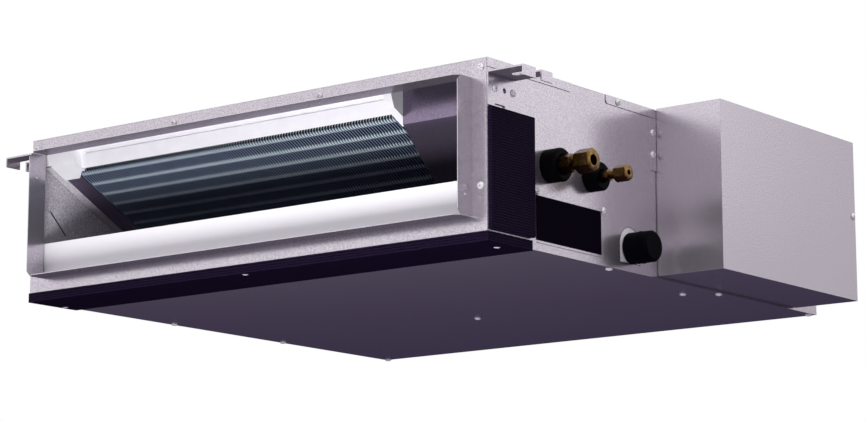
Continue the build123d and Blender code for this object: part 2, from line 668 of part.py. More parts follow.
TOP_FOAM_X = (-290.0, 200.0)
NOSE_TOP = (-330.0, 184.0)
GROOVE_END = 8.0
GROOVE_Z = (179.6, 181.0)
BLOCK_FACE = 2.5
LEFT_TOE = 8.5
RIGHT_TOE = 15.0
CORNER_X = -305.0
CORNER_RISE = -4.6
SUPPORT_START = -17.0
COVER_LEFT = COIL_RIGHT + 1.6


def top_insulation():
    """Foam lining between the coil's top edge and the lid, its face grooved under a front lip."""
    outline = [(LINING_FRONT, BODY_HEIGHT), (LINING_FRONT, 190.0), (-336.0, 186.0), NOSE_TOP,
               coil_point(0, -5, 0)[1:], coil_point(0, -0.01, COIL_THICKNESS)[1:], (-250.0, 186.0),
               (-250.0, BODY_HEIGHT)]
    groove_x = (TOP_FOAM_X[0] + GROOVE_END, TOP_FOAM_X[1] - GROOVE_END)
    return side_profile(outline, TOP_FOAM_X) - block(groove_x, (NOSE_TOP[0] - 3, NOSE_TOP[0] + 3), GROOVE_Z)


def cheek_section(toe):
    """Section of an end block: it laps the coil's face down to its toe."""
    steps = [(-19.0, -BLOCK_FACE), (toe, -BLOCK_FACE), (toe, -0.2), (-0.4, -0.2), (-0.4, COIL_THICKNESS + 0.4)]
    lap = [coil_point(0, s, n)[1:] for s, n in steps]
    return [(LINING_FRONT, BODY_HEIGHT), (LINING_FRONT, 186.0)] + lap + [(-300.0, BODY_HEIGHT)]


def left_insulation_end():
    """Left end: laps the coil's end plate, its inner corner cut off, and stays shallow beside the wall."""
    flange_x = COIL_LEFT - END_FLANGE
    end = side_profile(cheek_section(LEFT_TOE), (flange_x, TOP_FOAM_X[0]))
    corner = [(CORNER_X, LEFT_TOE), (TOP_FOAM_X[0], CORNER_RISE), (TOP_FOAM_X[0] + 1, CORNER_RISE),
              (TOP_FOAM_X[0] + 1, LEFT_TOE + 1), (CORNER_X, LEFT_TOE + 1)]
    lean = radians(COIL_SLOPE)
    face = Plane(origin=coil_point(0, 0, -2 * BLOCK_FACE), x_dir=(1, 0, 0), z_dir=(0, sin(lean), cos(lean)))
    end -= extrude(face * make_face(Polyline(*corner, close=True)), 2 * BLOCK_FACE)
    beside = [(LINING_FRONT, BODY_HEIGHT), (LINING_FRONT, 186.0), coil_point(0, SUPPORT_START - 2, 0)[1:],
              (-330.9, 180.4), (-300.0, 186.0), (-300.0, BODY_HEIGHT)]
    return end + side_profile(beside, (-INNER_X + 5, flange_x))


def right_insulation_end():
    """Right end: a narrow cheek that reaches down beside the pipe cover."""
    return side_profile(cheek_section(RIGHT_TOE), (TOP_FOAM_X[1], COVER_LEFT))


def left_air_guide():
    """Lining of the left side wall beside the coil, with a pressed rib slot."""
    outline = [(LINING_FRONT, PAN_LIP + 0.5), (-195.0, PAN_LIP + 0.5), (-116.0, 59.0), (-60.0, 59.0),
               (-60.0, BODY_HEIGHT - 0.5), (LINING_FRONT, BODY_HEIGHT - 0.5)]
    guide = side_profile(outline, (-INNER_X, -INNER_X + 4))
    points = hanger_screw_points(-1, -1) + [(-SIDE_X, *TOP_TAB_SCREW)]
    guide = drilled(guide, points, (-1, 0, 0), radius=SCREW_HOLE_RADIUS + 1)
    slot = [(-325.5, 115.5), (-322.5, 115.5), (-294.5, 88.0), (-297.5, 88.0)]
    return guide - side_profile(slot, (-INNER_X + 2.5, -INNER_X + 6))


def coil_support():
    """Angle that carries the coil's left end plate off the side wall."""
    length = TUBE_PITCH * TUBE_ROWS
    x_wall = -INNER_X + 5
    x_lap = COIL_LEFT - END_FLANGE
    shape = coil_block((x_wall, x_lap), (SUPPORT_START, length), (0, END_PLATE))
    shape += coil_block((x_wall, x_wall + END_PLATE), (SUPPORT_START, length - 20), (0, 12))
    shape += coil_block((x_wall, x_lap + 12), (1, length), (END_PLATE, 2 * END_PLATE))
    return shape


# Pipe cover over the headers

COVER_TILT = 44.5
COVER_KNEE = (-322.0, 149.2)
COVER_RUN = 124.0


def pipe_cover():
    """Bent sheet in front of the headers: an upright band, a plate sloping back to the pan and a cheek."""
    slope = radians(COVER_TILT)
    top = BODY_HEIGHT - 1.0
    knee_y, knee_z = COVER_KNEE
    low = (knee_y + COVER_RUN * cos(slope), knee_z - COVER_RUN * sin(slope))
    inner_knee = (knee_y + SHEET, knee_z + SHEET * 0.4)
    outline = [
        (knee_y, top), (knee_y, knee_z), low,
        (low[0] + SHEET * sin(slope), low[1] + SHEET * cos(slope)), inner_knee, (knee_y + SHEET, top),
    ]
    cover = side_profile(outline, (COVER_LEFT, PAN_X - 5.5))
    reach = (low[0] - COIL_TOP[0]) / cos(radians(COIL_SLOPE))
    cheek = [coil_point(0, 0.5, -1.6)[1:], (knee_y, knee_z + 5), (knee_y, knee_z), low,
             coil_point(0, reach, -1.6)[1:]]
    return cover + side_profile(cheek, (COVER_LEFT, COVER_LEFT + SHEET))


# Fans

def spiral_radius(turn):
    """Outer wall radius of the scroll after a turn in degrees from the tongue."""
    return CASING_START + CASING_GROWTH * turn / 270.0


def scroll_outline(extra):
    """Closed scroll outline in the (y, z) plane: a growing spiral of arcs that opens into a straight mouth."""
    def place(turn):
        # the turn starts below the axis on the outlet side and runs round the back to the top
        angle = radians(200.0 + turn)
        radius = spiral_radius(turn) + extra
        return (FAN_Y + radius * cos(angle), FAN_Z + radius * sin(angle))
    turns = [0, 50, 100, 150, 200, 250]
    arcs = []
    for low, high in zip(turns[:-1], turns[1:]):
        arcs.append(ThreePointArc(place(low), place((low + high) / 2), place(high)))
    top = place(turns[-1])
    start = place(0)
    mouth_top = (PARTITION_Y, top[1])
    mouth_low = (PARTITION_Y, MOUTH_LOW - extra)
    tongue = (start[0] - 8.0, MOUTH_LOW - 4.0 - extra)
    lines = [Line(top, mouth_top), Line(mouth_top, mouth_low), Line(mouth_low, tongue), Line(tongue, start)]
    return make_face(Curve() + arcs + lines)


def scroll_solid(extra, x):
    """Scroll outline carried along X."""
    plane = Plane(origin=(x[0], 0, 0), x_dir=(0, 1, 0), z_dir=(1, 0, 0))
    return extrude(plane * scroll_outline(extra), x[1] - x[0])


def fan_casing(side):
    """Moulded scroll with an inlet ring on each cheek, split level with the shaft."""
    centre = side * FAN_CENTRE_X
    half = CASING_WIDTH / 2
    shell = scroll_solid(CASING_WALL, (centre - half, centre + half))
    shell -= scroll_solid(0, (centre - half + CASING_WALL, centre + half - CASING_WALL))
    inlet = WHEEL_INNER_RADIUS + 1.0
    for cheek in (-1, 1):
        x = centre + cheek * half
        shell += tube((x - cheek * CASING_WALL, FAN_Y, FAN_Z), (cheek, 0, 0), CASING_WALL + 5, inlet + 3, inlet)
        shell -= rod((x - cheek * 6, FAN_Y, FAN_Z), (cheek, 0, 0), 20, inlet)
    return shell


def split_level(shape, level):
    """Upper and lower halves of a shape."""
    big = 600.0
    upper = shape & block((-big, big), (-big, big), (level, level + big))
    lower = shape & block((-big, big), (-big, big), (level - big, level))
    return upper, lower


def fan_wheel(side):
    """Forward-curved wheel: blades between two rings, a centre disc and a hub."""
    centre = side * FAN_CENTRE_X
    half = WHEEL_WIDTH / 2
    plane = Plane(origin=(centre - half, FAN_Y, FAN_Z), x_dir=(0, 1, 0), z_dir=(1, 0, 0))
    inner, outer = WHEEL_INNER_RADIUS, WHEEL_RADIUS
    sweep_angle = radians(9.0)
    thick = 0.9

    def blade_face(index):
        start = 2 * pi * index / BLADE_COUNT

        def at(radius, angle):
            return (radius * cos(start + angle), radius * sin(start + angle))
        middle = (inner + outer) / 2
        edge = thick / outer
        bulge = 0.55
        pressure = ThreePointArc(at(inner, 0), at(middle, sweep_angle * (1 - bulge) * 0.3), at(outer, sweep_angle))
        back = ThreePointArc(at(outer, sweep_angle + edge), at(middle, sweep_angle * (1 - bulge) * 0.3 + edge),
                             at(inner, edge))
        tip = Line(at(outer, sweep_angle), at(outer, sweep_angle + edge))
        root = Line(at(inner, edge), at(inner, 0))
        return make_face(Curve() + [pressure, tip, back, root])
    blades = [extrude(plane * blade_face(index), WHEEL_WIDTH) for index in range(BLADE_COUNT)]
    ring = Circle(outer + 1.2) - Circle(inner - 0.5)
    wheel = extrude(plane * ring, 3) + extrude(plane.offset(WHEEL_WIDTH - 3) * ring, 3)
    disc = extrude(plane.offset(half - 1) * Circle(outer - 1), 2)
    hub = extrude(plane.offset(half - 12) * Circle(12), 24)
    wheel = wheel + disc + hub + blades
    return wheel - rod((centre - half, FAN_Y, FAN_Z), (1, 0, 0), WHEEL_WIDTH, SHAFT_RADIUS)


def motor_shaft():
    """Double-ended shaft that carries both wheels."""
    reach = FAN_CENTRE_X + 20.0
    return rod((-reach, FAN_Y, FAN_Z), (1, 0, 0), 2 * reach, SHAFT_RADIUS)


def motor_body():
    """Motor can with stepped end bells and a shaft tunnel."""
    half = MOTOR_LENGTH / 2
    bore = SHAFT_RADIUS + 0.05
    outline = [
        (-half, bore), (-half, 15.0), (-half + 8, 16.0), (-half + 10, 30.0), (-half + 16, MOTOR_RADIUS - 4),
        (-half + 22, MOTOR_RADIUS), (half - 22, MOTOR_RADIUS), (half - 16, MOTOR_RADIUS - 4), (half - 10, 30.0),
        (half - 8, 16.0), (half, 15.0), (half, bore),
    ]
    return turned((0, FAN_Y, FAN_Z), (1, 0, 0), outline)


def motor_ring(side):
    """Rubber ring on a motor boss."""
    x = side * (MOTOR_LENGTH / 2 - 7.5)
    return tube((x, FAN_Y, FAN_Z), (side, 0, 0), 6.5, 21.0, 16.0)


def motor_bracket():
    """Pressed cradle on the base panel: a foot plate and two uprights that seat the rubber rings."""
    half = MOTOR_LENGTH / 2
    plate = block((-half - 3, half + 3), (FAN_Y - 60, FAN_Y + 60), (SHEET, SHEET + 2))
    for side in SIDES.values():
        x = sorted((side * (half - 6), side * (half - 3)))
        upright = side_profile([(FAN_Y - 45, SHEET), (FAN_Y + 45, SHEET), (FAN_Y + 28, FAN_Z), (FAN_Y - 28, FAN_Z)], x)
        upright -= rod((side * (half - 10), FAN_Y, FAN_Z), (side, 0, 0), 12, 21.0)
        plate += upright
    points = [(x, y, 0) for x, y in BOTTOM_SCREWS if abs(x) < half and 80 < y < 220]
    return drilled(plate, points, (0, 0, -1), radius=3.0, depth=12)


def motor_strap(side):
    """Half-round strap over a rubber ring, with two feet screwed to the cradle."""
    half = MOTOR_LENGTH / 2
    x = sorted((side * (half - 6), side * (half - 3)))
    plane = Plane(origin=(x[0], FAN_Y, FAN_Z), x_dir=(0, 1, 0), z_dir=(1, 0, 0))
    ring = extrude(plane * (Circle(24) - Circle(21)), x[1] - x[0])
    ring &= block((-300, 300), (0, 300), (FAN_Z, 300))
    for end in (-1, 1):
        y = sorted((FAN_Y + end * 21.5, FAN_Y + end * 28))
        ring += block(x, y, (FAN_Z, FAN_Z + 3))
    return ring


def partition_plate():
    """Upright plate between fans and coil, with a mouth for each scroll."""
    plate = block((-INNER_X + 1, INNER_X - 1), (PARTITION_Y - 1, PARTITION_Y), (SHEET, BODY_HEIGHT))
    for side in SIDES.values():
        centre = side * FAN_CENTRE_X
        half = CASING_WIDTH / 2 - CASING_WALL
        plate -= block((centre - half, centre + half), (PARTITION_Y - 2, PARTITION_Y + 2), (MOUTH_LOW, MOUTH_HIGH))
    return plate


# Filters

def filter_frame(bay):
    """Plastic filter frame with ribs, sized to slide inside its inlet bay."""
    gap = FILTER_GAP
    x = (bay[0] + gap, bay[1] - gap)
    z = (INLET_LOW + gap, INLET_HIGH - gap)
    y = (REAR_Y - 2 - FILTER_THICKNESS, REAR_Y - 2)
    frame = block(x, y, z)
    columns, rows = 4, 2
    pitch_x = (x[1] - x[0] - FILTER_BAR) / columns
    pitch_z = (z[1] - z[0] - FILTER_BAR) / rows
    for column in range(columns):
        for row in range(rows):
            low_x = x[0] + FILTER_BAR + column * pitch_x
            low_z = z[0] + FILTER_BAR + row * pitch_z
            frame -= block((low_x, low_x + pitch_x - FILTER_BAR), (y[0] - 1, y[1] + 1),
                           (low_z, low_z + pitch_z - FILTER_BAR))
    middle_z = (z[0] + z[1]) / 2
    middle_x = (x[0] + x[1]) / 2
    pull = block((middle_x - 22, middle_x + 22), (y[1], y[1] + 6), (middle_z - 2, middle_z + 2))
    return frame + pull


def filter_mesh(bay):
    """Woven net stretched across the frame's windows, here a thin sheet let into the back of the frame."""
    inset = FILTER_GAP + 3
    x = (bay[0] + inset, bay[1] - inset)
    z = (INLET_LOW + inset, INLET_HIGH - inset)
    y = REAR_Y - 2 - FILTER_THICKNESS
    return block(x, (y - 0.8, y), z)


# Control box

def control_box_base():
    """Back plate of the control box, with edges turned outwards and a screwed tab."""
    x = (SIDE_X, SIDE_X + SHEET)
    y = (BOX_Y[0] + 1.2, BOX_Y[1] - 1.2)
    z = (BOX_Z[0] + 1.2, BOX_Z[1] - 2.2)
    plate = block(x, y, (z[0], BODY_HEIGHT - 0.0))
    rim = block((SIDE_X, SIDE_X + BOX_FLANGE), y, z)
    rim -= block((SIDE_X - 1, SIDE_X + BOX_FLANGE + 1), (y[0] + SHEET, y[1] - SHEET), (z[0] + SHEET, z[1] - SHEET))
    tab = block(x, (BOX_Y[0] - 13.5, y[0]), (127.0, 190.0))
    plate = plate + rim + tab
    plate -= rod((SIDE_X - 1, 140, 150), (1, 0, 0), 4, 12)
    return drilled(plate, [(SIDE_X, yy, zz) for yy, zz in BOX_TAB_SCREWS], (1, 0, 0))


def control_box_cover():
    """Five-sided cover that slips over the back plate's edges."""
    x = (SIDE_X + 1.2, BOX_X)
    cover = block(x, BOX_Y, BOX_Z)
    cover -= block((x[0] - 1, BOX_X - SHEET), (BOX_Y[0] + SHEET, BOX_Y[1] - SHEET), (BOX_Z[0] + SHEET, BOX_Z[1] - SHEET))
    return drilled(cover, [(BOX_X, *COVER_SCREW)], (1, 0, 0))


def circuit_board():
    """Control board on four posts, with its relays, capacitors and connectors."""
    x = SIDE_X + 14.0
    board = block((x, x + 1.6), (20.0, 200.0), (30.0, 170.0))
    for y in (28.0, 192.0):
        for z in (38.0, 162.0):
            board += rod((SIDE_X + SHEET, y, z), (1, 0, 0), 13.0, 3.0)
    for index in range(5):
        y = 40.0 + 30.0 * index
        board += block((x + 1.6, x + 17.6), (y, y + 18.0), (134.0, 152.0))
        board += block((x + 1.6, x + 9.6), (y, y + 22.0), (36.0, 44.0))
    for index in range(3):
        board += rod((x + 1.6, 52.0 + 26.0 * index, 88.0), (1, 0, 0), 26.0, 9.0)
    board += block((x + 1.6, x + 30.0), (130.0, 180.0), (68.0, 110.0))
    return board


def terminal_block():
    """Five-way screw terminal strip with its partitions."""
    x = SIDE_X + SHEET
    strip = block((x, x + 16.0), (218.0, 278.0), (60.0, 90.0))
    for index in range(6):
        y = 218.0 + index * 11.6
        strip += block((x, x + 24.0), (y, y + 2.0), (60.0, 90.0))
    return strip


# Assembly

def build():
    """Make every sub-part."""
    add("top_panel", top_panel())
    add("bottom_panel", bottom_panel())
    add("left_side_panel", left_side_panel())
    add("right_side_panel", right_side_panel())
    add("outlet_panel", outlet_panel())
    add("inlet_panel", inlet_panel())
    add("partition_plate", partition_plate())
    for end_name, end in ENDS.items():
        for side_name, side in SIDES.items():
            add(f"hanger_{end_name}_{side_name}", hanger(side, end))
    add("bottom_foam_strip", bottom_foam())
    add("side_foam_pad", side_foam())
    add("window_cover", window_cover())
    add("coil_fins", coil_fins())
    add("coil_tubes", *[tube_run(s, n, COIL_TUBE_RADIUS) for s, n in tube_places()])
    add("return_bends", *return_bends())
    add("coil_end_plate_left", end_plate(-1))
    add("coil_end_plate_right", end_plate(1))
    add("gas_header", header(1, GAS_HEADER_X, GAS_HEADER_RADIUS))
    add("liquid_header", header(0, LIQUID_HEADER_X, LIQUID_HEADER_RADIUS))
    add("gas_pipe", gas_pipe())
    add("liquid_pipe", liquid_pipe())
    fittings()
    add("drain_pan", drain_pan())
    add("drain_socket", drain_socket())
    add("drain_cap", drain_cap())
    add("top_insulation", top_insulation())
    add("top_insulation_ends", left_insulation_end(), right_insulation_end())
    add("left_air_guide", left_air_guide())
    add("coil_support", coil_support())
    add("pipe_cover", pipe_cover())
    for name, side in SIDES.items():
        upper, lower = split_level(fan_casing(side), FAN_Z)
        add(f"fan_casing_upper_{name}", upper)
        add(f"fan_casing_lower_{name}", lower)
        add(f"fan_wheel_{name}", fan_wheel(side))
    add("motor_shaft", motor_shaft())
    add("motor_body", motor_body())
    add("motor_rings", *[motor_ring(side) for side in SIDES.values()])
    add("motor_bracket", motor_bracket())
    add("motor_straps", *[motor_strap(side) for side in SIDES.values()])
    for name, bay in zip(SIDES, inlet_bays()):
        add(f"filter_frame_{name}", filter_frame(bay))
        add(f"filter_mesh_{name}", filter_mesh(bay))
    add("control_box_base", control_box_base())
    add("control_box_cover", control_box_cover())
    add("circuit_board", circuit_board())
    add("terminal_block", terminal_block())
    front = [screw((x, FRONT_Y, z), (0, -1, 0)) for x, z in FRONT_SCREWS + LEFT_RETURN_SCREWS]
    tabs = [screw((side * (SIDE_X + SHEET), *TOP_TAB_SCREW), (side, 0, 0)) for side in SIDES.values()]
    add("casing_screws", *front, *tabs)
    add("bottom_screws", *[screw((x, y, 0), (0, 0, -1)) for x, y in BOTTOM_SCREWS])
    hanger_screws = [
        screw((x + side * HANGER_SHEET, y, z), (side, 0, 0))
        for side in SIDES.values() for end in ENDS.values() for x, y, z in hanger_screw_points(side, end)
    ]
    add("hanger_screws", *hanger_screws)
    side_screws = [screw((SIDE_X, y, z), (1, 0, 0)) for y, z in WINDOW_SCREWS]
    side_screws += [screw((SIDE_X + SHEET, y, z), (1, 0, 0)) for y, z in BOX_TAB_SCREWS]
    side_screws += [screw((BOX_X, *COVER_SCREW), (1, 0, 0))]
    add("side_screws", *side_screws)


build()
os.makedirs("parts", exist_ok=True)
for name, shape in PARTS.items():
    export_step(Pos(0, 0, -SLOT_PLANE) * shape, f"parts/{name}.step")
print(len(PARTS), "sub-parts")
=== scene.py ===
# %% [markdown]
# # A ducted indoor unit, dressed for the photograph
# The real object is a flat sheet-metal casing that hangs above a ceiling. Air leaves through the
# white insulated mouth in front. On the right are the two brass pipe joints, the drain stub and
# the box for the electronics. The solids come from the frame, in metres, and this file gives them
# folded edges, real fins, screw heads, foam and nets, and the finish of each material.

# %% The frame and its measures
import json
import math

import bmesh
import bpy
import numpy as np
from mathutils import Matrix, Vector


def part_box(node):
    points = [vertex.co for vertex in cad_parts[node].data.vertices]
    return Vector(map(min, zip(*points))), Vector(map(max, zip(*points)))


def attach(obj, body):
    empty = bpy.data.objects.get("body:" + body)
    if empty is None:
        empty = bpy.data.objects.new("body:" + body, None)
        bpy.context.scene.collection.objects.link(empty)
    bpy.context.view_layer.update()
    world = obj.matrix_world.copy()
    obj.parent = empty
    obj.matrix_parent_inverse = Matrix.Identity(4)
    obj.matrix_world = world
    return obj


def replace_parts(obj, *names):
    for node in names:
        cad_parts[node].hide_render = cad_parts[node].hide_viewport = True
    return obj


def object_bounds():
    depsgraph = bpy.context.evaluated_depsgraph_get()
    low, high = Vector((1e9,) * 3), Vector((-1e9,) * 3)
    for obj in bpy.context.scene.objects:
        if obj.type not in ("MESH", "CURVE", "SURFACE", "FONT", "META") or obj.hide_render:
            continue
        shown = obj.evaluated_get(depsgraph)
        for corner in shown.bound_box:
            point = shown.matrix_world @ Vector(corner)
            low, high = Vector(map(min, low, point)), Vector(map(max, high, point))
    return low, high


MM = 0.001
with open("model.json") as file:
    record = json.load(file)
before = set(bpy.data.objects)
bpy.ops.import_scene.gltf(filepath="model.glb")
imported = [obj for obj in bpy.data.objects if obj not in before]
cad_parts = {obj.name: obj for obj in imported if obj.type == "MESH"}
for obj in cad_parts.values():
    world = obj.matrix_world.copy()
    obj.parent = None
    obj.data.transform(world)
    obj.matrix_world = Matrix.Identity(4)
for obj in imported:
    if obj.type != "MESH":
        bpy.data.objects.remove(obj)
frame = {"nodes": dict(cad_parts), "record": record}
nodes = frame["nodes"]
cad_box = [list(corner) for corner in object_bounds()]
body_of = {node: body for body, group in frame["record"]["behaviour"]["bodies"].items() for node in group}
slot_of = {row["node"]: row["material_slot"] for row in frame["record"]["subparts"]}


# %% [markdown]
# ## Colours and shader nodes
# A colour is given as an sRGB hex value, but shader sockets work in linear light, so one
# function turns it. Nodes could be added and linked one call at a time, with four lines for each.
# One function does all of that, so that each finish below reads as a short recipe. Sizes go in as
# real millimetres, so that a pattern has the same size on every piece.

# %% From a hex colour to linear light
def linear(code):
    """Linear RGBA of an sRGB hex code: c becomes ((c + 0.055) / 1.055) ** 2.4, or c / 12.92 near 0."""
    channels = np.array([int(code[i : i + 2], 16) for i in (0, 2, 4)]) / 255
    values = np.where(channels <= 0.04045, channels / 12.92, ((channels + 0.055) / 1.055) ** 2.4)
    return (*values.tolist(), 1.0)


print("the middle grey 808080 is", round(linear("808080")[0], 3), "in linear light")


# %% Nodes and materials
def add_node(owner, kind, settings=None, links=None):
    """Adds a shader node; settings name sockets, properties or a ramp's stops, links name sockets to feed."""
    node = owner.node_tree.nodes.new(kind)
    for name, value in (settings or {}).items():
        if name == "stops":
            for stop, (position, code) in zip(node.color_ramp.elements, value):
                stop.position = position
                stop.color = linear(code)
        elif isinstance(name, int) or name in node.inputs:
            node.inputs[name].default_value = value
        else:
            setattr(node, name, value)
    for name, source in (links or {}).items():
        owner.node_tree.links.new(source, node.inputs[name])
    return node


def new_material(name, **sockets):
    """A Principled material with constants on its shader's sockets; returns it and its object coordinates."""
    material = bpy.data.materials.new(name)
    material.use_nodes = True
    shader = material.node_tree.nodes["Principled BSDF"]
    for socket, value in sockets.items():
        shader.inputs[socket.replace("_", " ")].default_value = value
    return material, add_node(material, "ShaderNodeTexCoord").outputs["Object"]


def feed(material, **sources):
    """Links outputs of nodes to the sockets of the material's shader."""
    shader = material.node_tree.nodes["Principled BSDF"]
    for socket, source in sources.items():
        material.node_tree.links.new(source, shader.inputs[socket.replace("_", " ")])


print("materials before the first finish:", len(bpy.data.materials))


# %% Real sizes and a mottled colour
WAVE_TURN = 20
NOISE_RANGE = (0.3, 0.7)


def per_metre(size_mm):
    """Texture scale that makes one feature about size_mm wide, as Object coordinates are in metres."""
    return 1000 / size_mm


def bands_at(pitch_mm):
    """Wave texture scale for bands one pitch apart: the texture's phase turns WAVE_TURN radians a unit."""
    return 2 * math.pi / WAVE_TURN / (pitch_mm * MM)


def mottled(material, place, low, high, size_mm, detail=2.0):
    """Noise that runs over NOISE_RANGE from a low to a high hex colour; returns the colour and the noise."""
    noise = add_node(
        material, "ShaderNodeTexNoise", {"Scale": per_metre(size_mm), "Detail": detail}, {"Vector": place}
    ).outputs["Fac"]
    stops = list(zip(NOISE_RANGE, (low, high)))
    colour = add_node(material, "ShaderNodeValToRGB", {"stops": stops}, {"Fac": noise}).outputs["Color"]
    return colour, noise


print("scale of 1 mm grains:", per_metre(1), "and of bands 1 mm apart:", round(bands_at(1), 1))


# %% [markdown]
# ## The casing's sheet
# The casing is hot-dip galvanised steel whose zinc was rolled smooth, so it has fine crystals and
# no flowery spangle. To the eye it is satin: each face shows a blurred picture of what it looks
# at, the bright room or the dark floor, and the box even mirrors the drain cap. A plain grey paint
# would match from one side only, so the sheet is mostly a metal. An oxide film dulls what it
# mirrors at a flat angle, which is what the darker edge tint gives. The crystals are about half a
# millimetre wide and are drawn at 1.6 mm, as finer grain would vanish in the render.
#
# The cover and the end plates round the coil get a darker copy of the sheet, which is painted shade, as these
# plates lie in shade inside the mouth.

# %% Galvanised steel
CRYSTAL_MM = 1.6
CLOUD_MM = 70


def galvanised_steel(name, low, high):
    """Satin zinc with fine crystals, and with broad, faint clouds of gloss left by the rolling mill."""
    material, place = new_material(
        name, Metallic=0.82, Specular_IOR_Level=0.3, Specular_Tint=linear("97919C")
    )
    colour, grain = mottled(material, place, low, high, CRYSTAL_MM, detail=3.0)
    clouds = add_node(
        material, "ShaderNodeTexNoise", {"Scale": per_metre(CLOUD_MM), "Detail": 1.0}, {"Vector": place}
    ).outputs["Fac"]
    gloss = add_node(material, "ShaderNodeMapRange", {"To Min": 0.2, "To Max": 0.27}, {"Value": clouds})
    relief = add_node(material, "ShaderNodeBump", {"Distance": 0.06 * MM, "Strength": 0.3}, {"Height": grain})
    feed(material, Base_Color=colour, Roughness=gloss.outputs["Result"], Normal=relief.outputs["Normal"])
    return material


finishes = {"galvanised_sheet": galvanised_steel("galvanised_steel_skin_passed", "AFA8B2", "D1CAD2")}
# Painted shade: a darker copy of the same sheet for the plates that lie in shade in the mouth
painted_shade_sheet_finish = galvanised_steel("galvanised_steel_with_painted_shade", "756A81", "8F849A")
print("sheet:", finishes["galvanised_sheet"].name, "and", painted_shade_sheet_finish.name)


# %% [markdown]
# ## The lining of the mouth
# The left wall of the mouth has a lining of dull zinc sheet. Its chalky bloom scatters light, so it
# is pale under the lamp and shows fine speckles. A narrow rib is pressed into it, whose own shadow
# is too faint to show in the render. Its faces carry a mark, and there the finish paints a grey shade.

# %% Dull zinc
def dull_zinc_sheet():
    """Zinc with a chalky bloom in speckles of 1.8 mm, with a grey painted shade on the rib's marked faces."""
    material, place = new_material(
        "dull_bloomed_zinc_sheet", Metallic=0.05, Roughness=0.6, Specular_IOR_Level=0.3
    )
    bloom, grain = mottled(material, place, "A6A1AA", "E9E5EC", size_mm=1.8, detail=3.0)
    painted_rib_shade = add_node(material, "ShaderNodeAttribute", {"attribute_name": "painted_rib_shade"}).outputs["Fac"]
    # Painted shade: this grey stands for the shadow in the rib's narrow groove
    colours = {"data_type": "RGBA", "B": linear("4A4550")}
    skin = add_node(material, "ShaderNodeMix", colours, {"Factor": painted_rib_shade, "A": bloom})
    relief = add_node(material, "ShaderNodeBump", {"Distance": 0.04 * MM, "Strength": 0.3}, {"Height": grain})
    feed(material, Base_Color=skin.outputs["Result"], Normal=relief.outputs["Normal"])
    return material


lining_finish = dull_zinc_sheet()
print("lining:", lining_finish.name)


# %% [markdown]
# ## Screws, brass and copper
# The screws are zinc plated and passivated: smooth, pale and a little cloudy, so they stand out
# from the sheet as light dots. The pipe joints are turned from brass that has browned a little,
# with tool rings round their axis, which are drawn 0.8 mm apart because real ones are too fine to
# show. The pipes are drawn copper, browned by storage. Each could be one even colour. A faint
# cloud that moves colour and gloss together makes it look handled.

# %% Zinc-plated steel
def zinc_plated_steel():
    """Bright zinc, smooth and slightly clouded; its clear passivated film scatters part of the light."""
    material, place = new_material("bright_zinc_plated_steel", Metallic=0.4)
    colour, cloud = mottled(material, place, "EDECEF", "FAFAFB", size_mm=2.0)
    gloss = add_node(material, "ShaderNodeMapRange", {"To Min": 0.22, "To Max": 0.34}, {"Value": cloud})
    feed(material, Base_Color=colour, Roughness=gloss.outputs["Result"])
    return material


finishes["steel"] = zinc_plated_steel()
print("screws:", finishes["steel"].name)


# %% Brass and copper
TOOL_RING_MM = 0.8


def turned_brass():
    """Forged and turned brass, slightly tarnished, with tool rings along X, the axis of both joints."""
    material, place = new_material("turned_brass", Metallic=1.0)
    colour, cloud = mottled(material, place, "5C4424", "8E6F3E", size_mm=4.0, detail=3.0)
    gloss = add_node(material, "ShaderNodeMapRange", {"To Min": 0.22, "To Max": 0.38}, {"Value": cloud})
    bands = {"bands_direction": "X", "Scale": bands_at(TOOL_RING_MM), "Distortion": 0.3}
    rings = add_node(material, "ShaderNodeTexWave", bands, {"Vector": place}).outputs["Fac"]
    depth = {"Distance": 0.02 * MM, "Strength": 0.25}
    relief = add_node(material, "ShaderNodeBump", depth, {"Height": rings})
    feed(material, Base_Color=colour, Roughness=gloss.outputs["Result"], Normal=relief.outputs["Normal"])
    return material


def drawn_copper():
    """Seamless drawn copper tube, browned by storage."""
    material, place = new_material("drawn_copper_tube", Metallic=1.0)
    colour, cloud = mottled(material, place, "9A5B3F", "C98361", size_mm=9.0, detail=3.0)
    gloss = add_node(material, "ShaderNodeMapRange", {"To Min": 0.25, "To Max": 0.45}, {"Value": cloud})
    feed(material, Base_Color=colour, Roughness=gloss.outputs["Result"])
    return material


finishes["brass"] = turned_brass()
finishes["copper"] = drawn_copper()
print("pipe side:", finishes["brass"].name, "and", finishes["copper"].name)


# %% [markdown]
# ## Coil foil
# A fin is aluminium foil with a dark blue coat. It is cut from a coated strip, so its edge is bare
# and pale. One even colour would lose the fine light lines of the photograph. The fins therefore
# carry the depth below their edge as an attribute, and the shader shows bare metal in the first
# part of a millimetre. The collars round the tubes are the same foil, drawn thin and pale.

# %% Fin foil and collars
EDGE_SHOWN_MM = 0.8
EDGE_FULL_MM = 0.4 * EDGE_SHOWN_MM


def fin_foil():
    """Foil with a dark blue coat, bare down to a depth of EDGE_FULL_MM and fading out at EDGE_SHOWN_MM."""
    material, _ = new_material("coated_aluminium_fin_foil", Metallic=0.3, Roughness=0.45)
    depth = add_node(material, "ShaderNodeAttribute", {"attribute_name": "depth_mm"}).outputs["Fac"]
    span = {"From Min": EDGE_SHOWN_MM, "From Max": EDGE_FULL_MM}
    edge = add_node(material, "ShaderNodeMapRange", span, {"Value": depth}).outputs["Result"]
    colours = {"data_type": "RGBA", "A": linear("050A1C"), "B": linear("94A5C5")}
    skin = add_node(material, "ShaderNodeMix", colours, {"Factor": edge})
    feed(material, Base_Color=skin.outputs["Result"])
    return material


def collar_foil():
    """The same foil drawn into collars: bare, pale and smooth."""
    material, place = new_material("drawn_aluminium_collar", Metallic=0.3, Roughness=0.4)
    colour, _ = mottled(material, place, "DFF0EE", "F2FBFA", size_mm=12.0)
    feed(material, Base_Color=colour)
    return material


